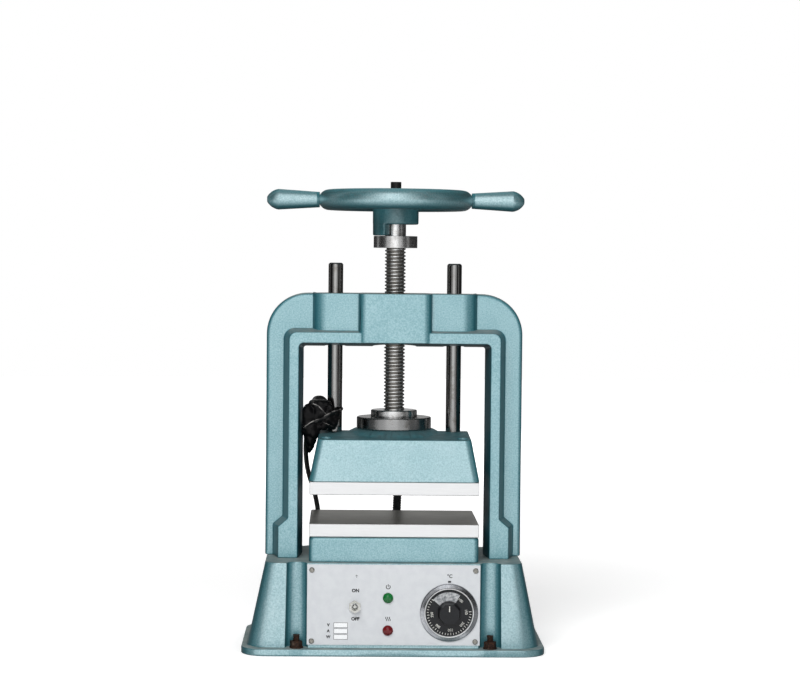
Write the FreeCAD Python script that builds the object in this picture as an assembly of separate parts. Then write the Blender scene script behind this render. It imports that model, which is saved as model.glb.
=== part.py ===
"""Rubber mold vulcanizer: a bench screw press with two heated platens.

Frame: +Z up, front of the press at -Y, origin at the middle of the base on the bench.
All sizes in millimetres. One STEP file per sub-part is written to parts/.
"""
import FreeCAD, Part
import math
import os

V = FreeCAD.Vector
X_AXIS = V(1, 0, 0)
Y_AXIS = V(0, 1, 0)
Z_AXIS = V(0, 0, 1)

# ---------------------------------------------------------------- driving dimensions
# platens: the 8 x 6 inch working faces that everything else is laid out from
PLATEN_W = 203.2
PLATEN_D = 152.4
PLATEN_T = 15.6
DAYLIGHT = 34.6            # gap between the platens in the shown position
PLATEN_EDGE = 0.8          # small broken edge all round

# base casting
BASE_H = 110.0
BASE_TOP_W = 307.0
BASE_BOTTOM_W = 350.0
BASE_D = 172.0
BASE_TOP_R = 16.0
BASE_BOTTOM_R = 26.0
BASE_WALL = 7.0
BASE_TOP_T = 10.0
FLANGE_W = 363.5
FLANGE_D = 196.0
FLANGE_T = 8.5
FLANGE_R = 30.0
FLUTE_X = 115.5            # the four upright grooves that give room to the hold-down studs
FLUTE_R_TOP = 12.0
FLUTE_R_BOTTOM = 13.6
STUD_D = 8.0
STUD_HOLE_D = 9.0
STUD_TOP = 24.5
STUD_WASHER = (16.4, 1.8)
STUD_NUT = (13.0, 6.8)
COVER_T = 2.0
COVER_GAP = 0.3
COVER_BOSS_R = 6.0
COVER_SCREW_D = 3.2
COVER_SCREW_TOP = 14.0
COVER_BOSSES = [(-140.0, -50.0), (-140.0, 50.0), (0.0, 68.0), (140.0, 50.0), (140.0, -50.0)]

# cast frame: a web bent round the opening, with a rib along its inner edge
FRAME_W = 312.0
FRAME_TOP = 430.0
FRAME_CORNER_R = 50.0
WEB_HALF = 12.0
WEB_EDGE_R = 5.0
OPENING_W = 221.8          # at the parting line, in the middle of the web
OPENING_TOP = 365.2
OPENING_R = 3.0
OPENING_DRAFT = 5.0        # how much it widens from there to each face
RIB_HALF = 42.0
RIB_FACE = 11.9            # width of the rib's front face on the legs
RIB_FACE_BEAM = 12.9       # and along the underside of the beam
RIB_DRAFT = (7.0, 3.7)     # how much wider the rib is where it meets the web: legs, beam
RIB_R = (13.0, 9.0)        # its outer corner at the web and at the face
FOOT_FACE = 23.6           # the rib spreads to this width at its foot
FOOT_TOP = 148.0
FOOT_JOG = 10.0
SCREW_BOSS_W = 88.0
SCREW_BOSS_HALF = 45.0
SCREW_BOSS_R = 10.0
GUIDE_BOSS_W = 199.0
GUIDE_BOSS_HALF = 29.0
GUIDE_BOSS_R = 18.0
BORE_MOUTH = 368.6         # lower ends of the nut and the bushes, above the parting line
FRAME_BOLT_D = 10.0
FRAME_BOLT_X = 126.0
FRAME_BOLT_Y = 28.0

# guides and screw
ROD_D = 18.0
ROD_X = 72.5
ROD_TOP = 467.0
ROD_SEAT = 27.0            # depth of the rod in the head
BUSH_OD = 24.0
RUN_FIT = 0.05             # radial running clearance of rods, screw and wheel
SCREW_D = 25.4
SCREW_TOP = 554.9
NUT_D = 38.0
NUT_FLANGE_D = 52.0
NUT_FLANGE_T = 7.0

# ram: upper head with its bearing
HEAD_BASE_W = 204.0
HEAD_SIDE_DRAFT = 0.2      # side faces lean in by this much per unit of height
HEAD_EAVES = 256.0
HEAD_RIDGE = 262.0
HEAD_FRONT_DRAFT = 4.5
HEAD_CORNER_R = 9.0
HEAD_SEAT = 264.5          # top of the round seat under the bearing flange
SEAT_TOP_R = 49.0
SEAT_FOOT_R = 66.0
BEARING_FLANGE_D = 91.0
BEARING_FLANGE_TOP = 279.4
CAP_D = 56.5
CAP_TOP = 288.0
BEARING_BORE_D = 44.0
THRUST_T = 8.0
BALL_CIRCLE_R = 15.5
BALL_COUNT = 10
SCREW_COLLAR_D = 40.0
SCREW_COLLAR_T = 10.0
WASHER_T = 2.5

# lower head and the heaters
LOWER_HEAD_R = 7.0
LOWER_HEAD_EDGE_R = 4.0
POCKET_W = 150.0
POCKET_D = 100.0
POCKET_DEEP = 18.0
HEATER_T = 6.0
WIRE_WAY_R = 6.0
HEAD_BOLT_X = 82.0
HEAD_BOLT_Y = 58.0
HEAD_BOLT_D = 8.0

# handwheel, and the collar on the screw whose upright bar is struck by the wheel's dog
DRIVE_COLLAR_D = 53.4
DRIVE_COLLAR_Z = (485.5, 500.0)
DRIVE_BAR_SECTOR = (68.0, 112.0)   # degrees about the screw, behind its shank
DRIVE_BAR_TOP = 513.4
DRIVE_PIN_D = 6.0
DOG_SECTOR = (180.0, 240.0)
DOG_GAP = 0.3
WHEEL_HUB_D = 56.0
WHEEL_HUB_Z = (514.0, 554.4)
RIM_Z = 543.5
RIM_OUTER_D = 188.6
RIM_TUBE_R = 12.5
SPOKE_HUB_OVAL = (12.0, 8.5)       # half width and half height of a spoke at the hub
SPOKE_RIM_OVAL = (9.5, 7.0)
HANDLE_REACH = 157.0
HANDLE_NECK_R = 9.4
HANDLE_END_R = 12.6
CAP_SCREW_HEAD = (13.0, 8.0)
CAP_SCREW_D = 8.0
HEX_KEY = 6.0              # across flats of the sockets
TOP_WASHER = (30.0, 3.0)

# control panel: places are (x, z) on its face
PANEL_W = 206.0
PANEL_Z = (12.5, 108.5)
PANEL_T = 1.5
PANEL_WINDOW_W = 188.0     # opening in the base behind the panel
PANEL_WINDOW_Z = (22.0, 99.0)
PANEL_SCREWS = [(x, z) for x in (-97.5, 97.5) for z in (17.0, 102.0)]
TOGGLE_AT = (-46.1, 58.5)
GREEN_LAMP_AT = (-6.7, 69.0)
RED_LAMP_AT = (-6.7, 30.2)
DIAL_AT = (66.1, 51.8)
BEZEL_D = 69.5
BEZEL_T = 5.0
DIAL_D = 55.7
KNOB_D = 29.0
LAMP_D = 12.4
TOGGLE_TILT = 12.0         # degrees either side of straight out

# leads of the upper head. A route is the list of corners that the cord turns at
LEAD_D = 6.0
LEAD_COIL_R = 21.0         # loose turns of the lead, standing on the head against the left rod
LEAD_COIL_INNER_R = 12.0
LEAD_COIL_AT = (-90.0, 283.0)
LEAD_COIL_Y = (-35.0, -11.0)
LEAD_UP_ROUTE = [(-80, 34, 273), (-80.5, 33, 288), (-86.5, 23, 300), (-96, 7, 301), (-97, -11, 300)]
LEAD_DOWN_ROUTE = [(-104, -11, 272), (-104.5, 5, 271), (-107, 23, 257), (-108.5, 43, 237),
                   (-108, 65, 218), (-105, 86, 198), (-97, 96, 174), (-92.5, 102, 148), (-91.5, 113, 126),
                   (-91.7, 127, 108), (-92, 134, 90), (-92, 131, 72), (-92, 118, 62), (-92, 102, 62)]
CONDUIT_D = 11.5
CONDUIT_ROUTE = [(7, 95, 240), (7, 122, 240), (8, 148, 224), (10, 163, 196), (9, 167, 165), (8, 166, 138),
                 (7.5, 164.5, 117), (7, 162.5, 96), (6, 159, 72.5), (6.5, 147, 53), (7, 127.5, 42),
                 (7, 106, 42)]

# ---------------------------------------------------------------- levels worked out
LOWER_PLATEN_TOP = 155.6
LOWER_PLATEN_Z = LOWER_PLATEN_TOP - PLATEN_T
UPPER_PLATEN_Z = LOWER_PLATEN_TOP + DAYLIGHT
HEAD_Z = UPPER_PLATEN_Z + PLATEN_T
FACE_Y = -BASE_D / 2
PANEL_FACE_Y = FACE_Y - PANEL_T
WASHER_Z = HEAD_SEAT - WASHER_T
COLLAR_Z = WASHER_Z - SCREW_COLLAR_T
THRUST_Z = COLLAR_Z - THRUST_T
RIM_R = RIM_OUTER_D / 2 - RIM_TUBE_R
DOG_Z = DRIVE_COLLAR_Z[1] + DOG_GAP
DRIVE_PIN_Z = (DRIVE_COLLAR_Z[0] + DRIVE_COLLAR_Z[1]) / 2
DOG_INNER_R = SCREW_D / 2 + 1.5

# ---------------------------------------------------------------- small fastenings and glands
PANEL_SCREW_D = 3.5
TOGGLE_PIVOT_Y = PANEL_FACE_Y - 3.0
TOGGLE_PIN_R = 1.0
TOGGLE_PIN_GAP = 0.2
TOGGLE_BUSH_R = 5.9
TOGGLE_ROOM_R = 4.0
DIAL_SHAFT_R = 3.0
HANDLE_STEM_R = 5.0
GLAND_D = 12.0
GLAND_REACH = 16.0
CONDUIT_GLAND_D = 18.0
CONDUIT_GLAND_REACH = 22.0
FLANGE_SCREW_D = 5.0
FLANGE_HEAD = (8.5, 5.5)
FLANGE_SCREW_SEAT = BEARING_FLANGE_TOP - 6.0
FLANGE_PITCH = 25.8                # the four screws stand at the corners of a square
FLANGE_SCREWS = [(sx * FLANGE_PITCH, sy * FLANGE_PITCH) for sx in (-1, 1) for sy in (-1, 1)]
HEAD_BOLT_SEAT = 238.0
HEAD_GLAND_AT = (-80.0, 34.0, 257.0)
HEAD_GLAND_SEAT = 12.0
CONDUIT_GLAND_AT = (7.0, 73.0, 240.0)
CONDUIT_GLAND_SEAT = 14.0
LEAD_INLET = (-92.0, 62.0)         # places of the glands in the back wall, as (x, z)
CONDUIT_INLET = (7.0, 42.0)
MAINS_INLET = (60.0, 34.0)
MAINS_D = 7.5
GLAND_RIM = 2.5


# ---------------------------------------------------------------- small tools
def box(x0, x1, y0, y1, z0, z1):
    return Part.makeBox(x1 - x0, y1 - y0, z1 - z0, V(x0, y0, z0))


def rod(radius, start, end):
    """A round bar between two points."""
    way = V(*end) - V(*start)
    return Part.makeCylinder(radius, way.Length, V(*start), way)


def taper(radius_a, radius_b, start, end):
    """A cone frustum between two points."""
    way = V(*end) - V(*start)
    return Part.makeCone(radius_a, radius_b, way.Length, V(*start), way)


def tube(outer_r, inner_r, start, end):
    return rod(outer_r, start, end).cut(rod(inner_r, start, end))


def fused(shapes):
    """One solid from many that touch."""
    body = shapes[0].multiFuse(shapes[1:]) if len(shapes) > 1 else shapes[0]
    return body.removeSplitter()


def without(body, shapes):
    return body.cut(shapes)


def both_sides(make):
    return [make(side) for side in (-1, 1)]


def upright(flat):
    """Turn a slab drawn in plan so that it stands in the XZ plane."""
    flat.rotate(V(0, 0, 0), X_AXIS, 90)
    return flat


def corners(x, y):
    """The four places (+-x, +-y)."""
    return [(sx * x, sy * y) for sx in (-1, 1) for sy in (-1, 1)]


def polygon(points):
    return Part.makePolygon([V(*p) for p in points] + [V(*points[0])])


def rounded_rect(width, depth, radius, z):
    """A flat wire: a rectangle with round corners, centred on the Z axis."""
    hx = width / 2
    hy = depth / 2
    edges = []
    for k in range(4):
        turn = math.radians(90 * k)
        sx = 1 if k in (0, 3) else -1
        sy = 1 if k in (0, 1) else -1
        centre = V(sx * (hx - radius), sy * (hy - radius), z)
        arc = [centre + V(radius * math.cos(turn + a), radius * math.sin(turn + a), 0)
               for a in (0, math.pi / 4, math.pi / 2)]
        if edges:
            edges.append(Part.LineSegment(edges[-1].EndPoint, arc[0]))
        edges.append(Part.Arc(*arc))
    edges.append(Part.LineSegment(edges[-1].EndPoint, edges[0].StartPoint))
    return Part.Wire([e.toShape() for e in edges])


def slab(width, depth, radius, z0, z1):
    face = Part.Face(rounded_rect(width, depth, radius, z0))
    return face.extrude(V(0, 0, z1 - z0))


def tapered_block(lower, upper, z0, z1):
    """A block between two rounded rectangles, each (width, depth, radius)."""
    return Part.makeLoft([rounded_rect(*lower, z0), rounded_rect(*upper, z1)], True, True)


def hexagon_prism(across_flats, start, end, turn=0.0):
    """A six-sided prism between two points."""
    start = V(*start)
    way = V(*end) - start
    radius = across_flats / math.sqrt(3)
    points = [V(radius * math.cos(math.radians(60 * k + turn)),
                radius * math.sin(math.radians(60 * k + turn)), 0) for k in range(7)]
    face = Part.Face(Part.makePolygon(points))
    prism = face.extrude(V(0, 0, way.Length))
    prism.Placement = FreeCAD.Placement(start, FreeCAD.Rotation(Z_AXIS, way))
    return prism


def save(name, shapes):
    """Write one node; a list of solids becomes a group in one file."""
    if not isinstance(shapes, list):
        shapes = [shapes]
    solids = [solid for shape in shapes for solid in shape.Solids]
    node = solids[0] if len(solids) == 1 else Part.makeCompound(solids)
    volume = sum(solid.Volume for solid in solids)
    whole = all(solid.isValid() for solid in solids)
    print(f"{name:22s} solids {len(solids):2d}  faces {len(node.Faces):3d}  "
          f"volume {volume / 1000:9.2f} cm3  valid {whole}")
    node.exportStep(f"parts/{name}.step")
    return node


# ---------------------------------------------------------------- base
def base_outline(inset, z0, z1):
    """The flared body of the base, or the same form drawn in by a wall."""
    flare = (BASE_BOTTOM_W - BASE_TOP_W) / (BASE_H - FLANGE_T)

    def section(z):
        share = (BASE_H - z) / (BASE_H - FLANGE_T)
        radius = BASE_TOP_R + (BASE_BOTTOM_R - BASE_TOP_R) * share
        width = BASE_TOP_W + flare * (BASE_H - z)
        return (width - 2 * inset, BASE_D - 2 * inset, radius - inset)

    return tapered_block(section(z0), section(z1), z0, z1)


def flute(x, y, extra, z0=FLANGE_T, z1=BASE_H):
    slope = (FLUTE_R_BOTTOM - FLUTE_R_TOP) / (BASE_H - FLANGE_T)
    lower_r = FLUTE_R_TOP + slope * (BASE_H - z0) + extra
    upper_r = FLUTE_R_TOP + slope * (BASE_H - z1) + extra
    return taper(lower_r, upper_r, (x, y, z0), (x, y, z1))


def base_cavity(inset, z0, z1):
    """The hollow inside the base, which passes round the four flutes."""
    hollow = base_outline(inset, z0, z1)
    return without(hollow, [flute(x, y, inset, z0 - 1, z1 + 1) for x, y in corners(FLUTE_X, BASE_D / 2)])


def make_base_casting():
    body = base_outline(0.0, FLANGE_T, BASE_H)
    flange = slab(FLANGE_W, FLANGE_D, FLANGE_R, 0.0, FLANGE_T)
    body = without(body, [flute(x, y, 0.0, FLANGE_T, BASE_H + 0.5)
                          for x, y in corners(FLUTE_X, BASE_D / 2)])
    body = fused([body, flange])
    bosses = [rod(COVER_BOSS_R, (x, y, 0), (x, y, BASE_H)) for x, y in COVER_BOSSES]
    hollow = without(base_cavity(BASE_WALL, COVER_T, BASE_H - BASE_TOP_T), bosses)
    cover_room = base_cavity(BASE_WALL, -1.0, COVER_T)
    body = without(body, [hollow, cover_room])
    window = slab(PANEL_WINDOW_W, 40.0, 5.0, *PANEL_WINDOW_Z)
    window.translate(V(0, FACE_Y, 0))
    holes = [window]
    holes += [rod(STUD_HOLE_D / 2, (x, y, -1), (x, y, FLANGE_T + 1))
              for x, y in corners(FLUTE_X, BASE_D / 2)]
    holes += [rod(FRAME_BOLT_D / 2 + 0.5, (x, y, BASE_H - BASE_TOP_T - 1), (x, y, BASE_H + 1))
              for x, y in corners(FRAME_BOLT_X, FRAME_BOLT_Y)]
    holes += [rod(HEAD_BOLT_D / 2 + 0.5, (x, y, BASE_H - BASE_TOP_T - 1), (x, y, BASE_H + 1))
              for x, y in corners(HEAD_BOLT_X, HEAD_BOLT_Y)]
    holes += [rod(COVER_SCREW_D / 2, (x, y, 0), (x, y, COVER_SCREW_TOP + 2)) for x, y in COVER_BOSSES]
    holes += [rod(PANEL_SCREW_D / 2, (x, FACE_Y - 1, z), (x, FACE_Y + 6, z)) for x, z in PANEL_SCREWS]
    back_y = BASE_D / 2
    for (x, z), hole_d in ((LEAD_INLET, GLAND_D), (CONDUIT_INLET, CONDUIT_GLAND_D), (MAINS_INLET, GLAND_D)):
        holes.append(rod(hole_d / 2, (x, back_y - BASE_WALL - 5, z), (x, back_y + 1, z)))
    holes.append(rod(WIRE_WAY_R, (0, 0, BASE_H - BASE_TOP_T - 1), (0, 0, BASE_H + 1)))
    return without(body, holes)


def countersink(x, y, gap, low):
    """The cone of a flush screw head in the cover, wider by a gap for the hole."""
    return taper(COVER_SCREW_D + gap, COVER_SCREW_D / 2 + gap, (x, y, low), (x, y, COVER_T))


def make_bottom_cover():
    """A flush plate that closes the base; its screws are sunk level with the bench."""
    plate = base_cavity(BASE_WALL + COVER_GAP, 0.0, COVER_T)
    return without(plate, [countersink(x, y, 0.15, 0.0) for x, y in COVER_BOSSES])


def make_cover_screws():
    screws = []
    for x, y in COVER_BOSSES:
        shank = rod(COVER_SCREW_D / 2, (x, y, COVER_T), (x, y, COVER_SCREW_TOP))
        screws.append(fused([countersink(x, y, 0.0, 0.1), shank]))
    return screws


# ---------------------------------------------------------------- frame
def arch_outline(foot_x, leg_x, crown_z, radius, y):
    """Outer line of the rib at one depth: foot, leg, round corner and crown."""
    jog_top = FOOT_TOP + FOOT_JOG
    flat_x = leg_x - radius
    spring_z = crown_z - radius
    round_x = flat_x + radius * math.cos(math.pi / 4)
    round_z = spring_z + radius * math.sin(math.pi / 4)

    def at(x, z):
        return V(x, y, z)

    def line(a, b):
        return Part.LineSegment(a, b).toShape()

    edges = [line(at(-foot_x, BASE_H), at(-foot_x, FOOT_TOP)),
             line(at(-foot_x, FOOT_TOP), at(-leg_x, jog_top)),
             line(at(-leg_x, jog_top), at(-leg_x, spring_z)),
             Part.Arc(at(-leg_x, spring_z), at(-round_x, round_z), at(-flat_x, crown_z)).toShape(),
             line(at(-flat_x, crown_z), at(flat_x, crown_z)),
             Part.Arc(at(flat_x, crown_z), at(round_x, round_z), at(leg_x, spring_z)).toShape(),
             line(at(leg_x, spring_z), at(leg_x, jog_top)),
             line(at(leg_x, jog_top), at(foot_x, FOOT_TOP)),
             line(at(foot_x, FOOT_TOP), at(foot_x, BASE_H)),
             line(at(foot_x, BASE_H), at(-foot_x, BASE_H))]
    return Part.Wire(edges)


def make_rib(side):
    """Half of the rib, from the middle of the web out to its front or back face."""
    inner_x = OPENING_W / 2 + OPENING_DRAFT
    crown_z = OPENING_TOP + OPENING_DRAFT + RIB_FACE_BEAM

    def at(y, leg_grow, beam_grow, radius):
        return arch_outline(inner_x + FOOT_FACE + leg_grow, inner_x + RIB_FACE + leg_grow,
                            crown_z + beam_grow, radius, side * y)

    root = RIB_DRAFT + (RIB_R[0],)
    face = at(RIB_HALF, 0.0, 0.0, RIB_R[1])
    return Part.makeLoft([at(0.0, *root), at(WEB_HALF, *root), face], True, True)


def make_opening():
    """The space inside the arch: it widens from the parting line to both faces."""
    reach = RIB_HALF + 5
    grow = OPENING_DRAFT * reach / RIB_HALF

    def at(y, wider):
        return rounded_rect(OPENING_W + 2 * wider, 2 * (OPENING_TOP + wider), OPENING_R + wider / 2, y)

    return upright(Part.makeLoft([at(-reach, grow), at(0.0, 0.0), at(reach, grow)], True, True))


def make_press_frame():
    half = FRAME_W / 2
    web = slab(FRAME_W, 2 * FRAME_TOP, FRAME_CORNER_R, -WEB_HALF, WEB_HALF)
    web = upright(web.makeFillet(WEB_EDGE_R, [e for e in web.Edges if e.BoundBox.ZLength < 0.1]))
    web = web.common(box(-half, half, -WEB_HALF, WEB_HALF, BASE_H, FRAME_TOP))
    screw_boss = slab(SCREW_BOSS_W, 2 * SCREW_BOSS_HALF, SCREW_BOSS_R, OPENING_TOP, FRAME_TOP)
    guide_boss = slab(GUIDE_BOSS_W, 2 * GUIDE_BOSS_HALF, GUIDE_BOSS_R, OPENING_TOP + 7, FRAME_TOP)
    body = without(fused([web, make_rib(-1), make_rib(1), screw_boss, guide_boss]), [make_opening()])
    holes = [rod(NUT_D / 2, (0, 0, OPENING_TOP - 1), (0, 0, FRAME_TOP + 1)),
             rod(NUT_FLANGE_D / 2, (0, 0, OPENING_TOP - 1), (0, 0, BORE_MOUTH + NUT_FLANGE_T))]
    holes += [rod(BUSH_OD / 2, (side * ROD_X, 0, OPENING_TOP - 1), (side * ROD_X, 0, FRAME_TOP + 1))
              for side in (-1, 1)]
    holes += [rod(FRAME_BOLT_D / 2, (x, y, BASE_H - 1), (x, y, BASE_H + 24))
              for x, y in corners(FRAME_BOLT_X, FRAME_BOLT_Y)]
    return without(body, holes)


def make_frame_bolts():
    bolts = []
    under = BASE_H - BASE_TOP_T
    for x, y in corners(FRAME_BOLT_X, FRAME_BOLT_Y):
        head = hexagon_prism(16.0, (x, y, under - 6.4), (x, y, under))
        shank = rod(FRAME_BOLT_D / 2, (x, y, under), (x, y, BASE_H + 22))
        bolts.append(fused([head, shank]))
    return bolts


def make_screw_nut():
    body = rod(NUT_D / 2, (0, 0, BORE_MOUTH), (0, 0, FRAME_TOP))
    flange = rod(NUT_FLANGE_D / 2, (0, 0, BORE_MOUTH), (0, 0, BORE_MOUTH + NUT_FLANGE_T))
    bore = rod(SCREW_D / 2 + RUN_FIT, (0, 0, BORE_MOUTH - 1), (0, 0, FRAME_TOP + 1))
    return without(fused([body, flange]), [bore])


def make_guide_bush(side):
    x = side * ROD_X
    return tube(BUSH_OD / 2, ROD_D / 2 + RUN_FIT, (x, 0, BORE_MOUTH), (x, 0, FRAME_TOP))


# ---------------------------------------------------------------- heads and platens
def make_platen(z, hole_from_top):
    plate = box(-PLATEN_W / 2, PLATEN_W / 2, -PLATEN_D / 2, PLATEN_D / 2, z, z + PLATEN_T)
    plate = plate.makeChamfer(PLATEN_EDGE, plate.Edges)
    hole_z = (z + 5, z + PLATEN_T + 1) if hole_from_top else (z - 1, z + PLATEN_T - 5)
    return without(plate, [rod(HEAD_BOLT_D / 2, (x, y, hole_z[0]), (x, y, hole_z[1]))
                           for x, y in corners(HEAD_BOLT_X, HEAD_BOLT_Y)])


def make_lower_head():
    block = slab(PLATEN_W, PLATEN_D, LOWER_HEAD_R, BASE_H, LOWER_PLATEN_Z)
    top_edges = [e for e in block.Edges if abs(e.BoundBox.ZMin - LOWER_PLATEN_Z) < 0.01]
    block = block.makeFillet(LOWER_HEAD_EDGE_R, top_edges)
    pocket = slab(POCKET_W, POCKET_D, 6.0, LOWER_PLATEN_Z - POCKET_DEEP, LOWER_PLATEN_Z + 1)
    bolts = [rod(HEAD_BOLT_D / 2 + 0.5, (x, y, BASE_H - 1), (x, y, LOWER_PLATEN_Z + 1))
             for x, y in corners(HEAD_BOLT_X, HEAD_BOLT_Y)]
    wire_way = rod(WIRE_WAY_R, (0, 0, BASE_H - 1), (0, 0, LOWER_PLATEN_Z - POCKET_DEEP + 1))
    return without(block, [pocket, wire_way] + bolts)


def make_insulation(z0, z1):
    return slab(POCKET_W - 1.0, POCKET_D - 1.0, 5.5, z0, z1)


def make_heater(z0):
    return slab(POCKET_W - 2.0, POCKET_D - 2.0, 5.0, z0, z0 + HEATER_T)


def cap_screw(x, y, seat, end, head_d, head_t, shank_d, socket):
    """A socket head screw standing on seat, its shank reaching to end."""
    up = 1 if seat > end else -1
    head = rod(head_d / 2, (x, y, seat), (x, y, seat + up * head_t))
    shank = rod(shank_d / 2, (x, y, end), (x, y, seat))
    recess = hexagon_prism(socket, (x, y, seat + up * head_t / 2), (x, y, seat + up * (head_t + 1)))
    return without(fused([head, shank]), [recess])


def make_lower_head_bolts():
    under = BASE_H - BASE_TOP_T
    return [cap_screw(x, y, under, LOWER_PLATEN_TOP - 6, *CAP_SCREW_HEAD, HEAD_BOLT_D, HEX_KEY)
            for x, y in corners(HEAD_BOLT_X, HEAD_BOLT_Y)]


def head_half_width(z):
    return HEAD_BASE_W / 2 - HEAD_SIDE_DRAFT * (z - HEAD_Z)


def make_upper_head():
    """A roofed block with drafted sides and a round seat for the bearing."""
    deep = PLATEN_D / 2
    eaves = deep - HEAD_FRONT_DRAFT
    section = Part.Face(polygon([(-110, -deep, HEAD_Z), (-110, -eaves, HEAD_EAVES), (-110, 0, HEAD_RIDGE),
                                 (-110, eaves, HEAD_EAVES), (-110, deep, HEAD_Z)]))
    block = section.extrude(V(220, 0, 0))
    low = head_half_width(HEAD_Z)
    high = head_half_width(HEAD_RIDGE + 5)
    front = Part.Face(polygon([(-low, -90, HEAD_Z), (low, -90, HEAD_Z),
                               (high, -90, HEAD_RIDGE + 5), (-high, -90, HEAD_RIDGE + 5)]))
    block = block.common(front.extrude(V(0, 180, 0)))
    upright = [e for e in block.Edges if e.BoundBox.ZLength > 40]
    block = block.makeFillet(HEAD_CORNER_R, upright)
    seat = taper(SEAT_FOOT_R, SEAT_TOP_R, (0, 0, HEAD_SEAT - 8.5), (0, 0, HEAD_SEAT))
    body = fused([block, seat])
    pocket = slab(POCKET_W, POCKET_D, 6.0, HEAD_Z - 1, HEAD_Z + POCKET_DEEP)
    bearing = rod(BEARING_BORE_D / 2, (0, 0, THRUST_Z), (0, 0, HEAD_SEAT + 1))
    holes = [pocket, bearing]
    holes += [rod(ROD_D / 2, (side * ROD_X, 0, HEAD_RIDGE - ROD_SEAT), (side * ROD_X, 0, HEAD_RIDGE + 1))
              for side in (-1, 1)]
    for x, y in corners(HEAD_BOLT_X, HEAD_BOLT_Y):
        holes.append(rod(HEAD_BOLT_D / 2 + 0.5, (x, y, HEAD_Z - 1), (x, y, HEAD_EAVES)))
        holes.append(rod(CAP_SCREW_HEAD[0] / 2 + 0.5, (x, y, HEAD_BOLT_SEAT), (x, y, HEAD_RIDGE + 1)))
    holes += [rod(FLANGE_SCREW_D / 2, (x, y, HEAD_SEAT - 12), (x, y, HEAD_SEAT + 1))
              for x, y in FLANGE_SCREWS]
    x, y, z = HEAD_GLAND_AT
    holes.append(rod(GLAND_D / 2, (x, y, z - HEAD_GLAND_SEAT), (x, y, z + 1)))
    holes.append(rod(GLAND_D / 2 + GLAND_RIM + 0.6, (x, y, z), (x, y, z + 9)))
    x, y, z = CONDUIT_GLAND_AT
    holes.append(rod(CONDUIT_GLAND_D / 2, (x, y - CONDUIT_GLAND_SEAT, z), (x, y + 1, z)))
    holes.append(rod(CONDUIT_GLAND_D / 2 + GLAND_RIM + 0.6, (x, y, z), (x, y + 9, z)))
    return without(body, holes)


def make_upper_head_bolts():
    return [cap_screw(x, y, HEAD_BOLT_SEAT, UPPER_PLATEN_Z + 6, *CAP_SCREW_HEAD, HEAD_BOLT_D, HEX_KEY)
            for x, y in corners(HEAD_BOLT_X, HEAD_BOLT_Y)]


# ---------------------------------------------------------------- bearing and guides
def make_bearing_flange():
    ring = tube(BEARING_FLANGE_D / 2, SCREW_D / 2 + 0.3, (0, 0, HEAD_SEAT), (0, 0, BEARING_FLANGE_TOP))
    outer = [e for e in ring.Edges if e.BoundBox.XLength > BEARING_FLANGE_D - 1 and len(e.Vertexes) == 1]
    ring = ring.makeChamfer(1.0, outer)
    holes = []
    above = BEARING_FLANGE_TOP + 1
    for x, y in FLANGE_SCREWS:
        holes.append(rod(FLANGE_SCREW_D / 2 + 0.3, (x, y, HEAD_SEAT - 1), (x, y, above)))
        holes.append(rod(FLANGE_HEAD[0] / 2 + 0.3, (x, y, FLANGE_SCREW_SEAT), (x, y, above)))
    return without(ring, holes)


def make_flange_screws():
    return [cap_screw(x, y, FLANGE_SCREW_SEAT, HEAD_SEAT - 11, *FLANGE_HEAD, FLANGE_SCREW_D, 4.0)
            for x, y in FLANGE_SCREWS]


def make_retaining_cap():
    ring = tube(CAP_D / 2, SCREW_D / 2 + 0.3, (0, 0, BEARING_FLANGE_TOP), (0, 0, CAP_TOP))
    upper = [e for e in ring.Edges if abs(e.BoundBox.ZMin - CAP_TOP) < 0.01 and e.BoundBox.XLength > 50]
    return ring.makeChamfer(1.2, upper)


def make_thrust_race(z):
    return tube(BEARING_BORE_D / 2 - RUN_FIT, BALL_CIRCLE_R - 5.0, (0, 0, z), (0, 0, z + THRUST_T / 4))


def make_thrust_balls():
    balls = []
    for k in range(BALL_COUNT):
        turn = 2 * math.pi * k / BALL_COUNT
        centre = V(BALL_CIRCLE_R * math.cos(turn), BALL_CIRCLE_R * math.sin(turn), THRUST_Z + THRUST_T / 2)
        balls.append(Part.makeSphere(THRUST_T / 4, centre))
    return balls


def make_bearing_washer():
    return tube(BEARING_BORE_D / 2 - 0.1, SCREW_D / 2 + 0.3, (0, 0, WASHER_Z), (0, 0, HEAD_SEAT))


def make_guide_rods():
    rods = []
    for side in (-1, 1):
        bar = rod(ROD_D / 2, (side * ROD_X, 0, HEAD_RIDGE - ROD_SEAT), (side * ROD_X, 0, ROD_TOP))
        top = [e for e in bar.Edges if abs(e.BoundBox.ZMin - ROD_TOP) < 0.01]
        rods.append(bar.makeFillet(3.0, top))
    return rods


def make_main_screw():
    """Thrust collar, threaded length, plain shank with the drive collar's pin hole, tapped end."""
    parts = [rod(SCREW_COLLAR_D / 2, (0, 0, COLLAR_Z), (0, 0, WASHER_Z)),
             rod(10.0, (0, 0, THRUST_Z + 0.5), (0, 0, COLLAR_Z)),
             rod(SCREW_D / 2, (0, 0, WASHER_Z), (0, 0, SCREW_TOP))]
    tapped = rod(CAP_SCREW_D / 2, (0, 0, SCREW_TOP - 22), (0, 0, SCREW_TOP + 1))
    return without(fused(parts), [drive_pin(), tapped])


def drive_pin():
    """The dowel from the back of the drive collar to beyond the middle of the screw."""
    return rod(DRIVE_PIN_D / 2, (0, -SCREW_D / 4, DRIVE_PIN_Z), (0, DRIVE_COLLAR_D / 2 - 0.5, DRIVE_PIN_Z))


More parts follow.
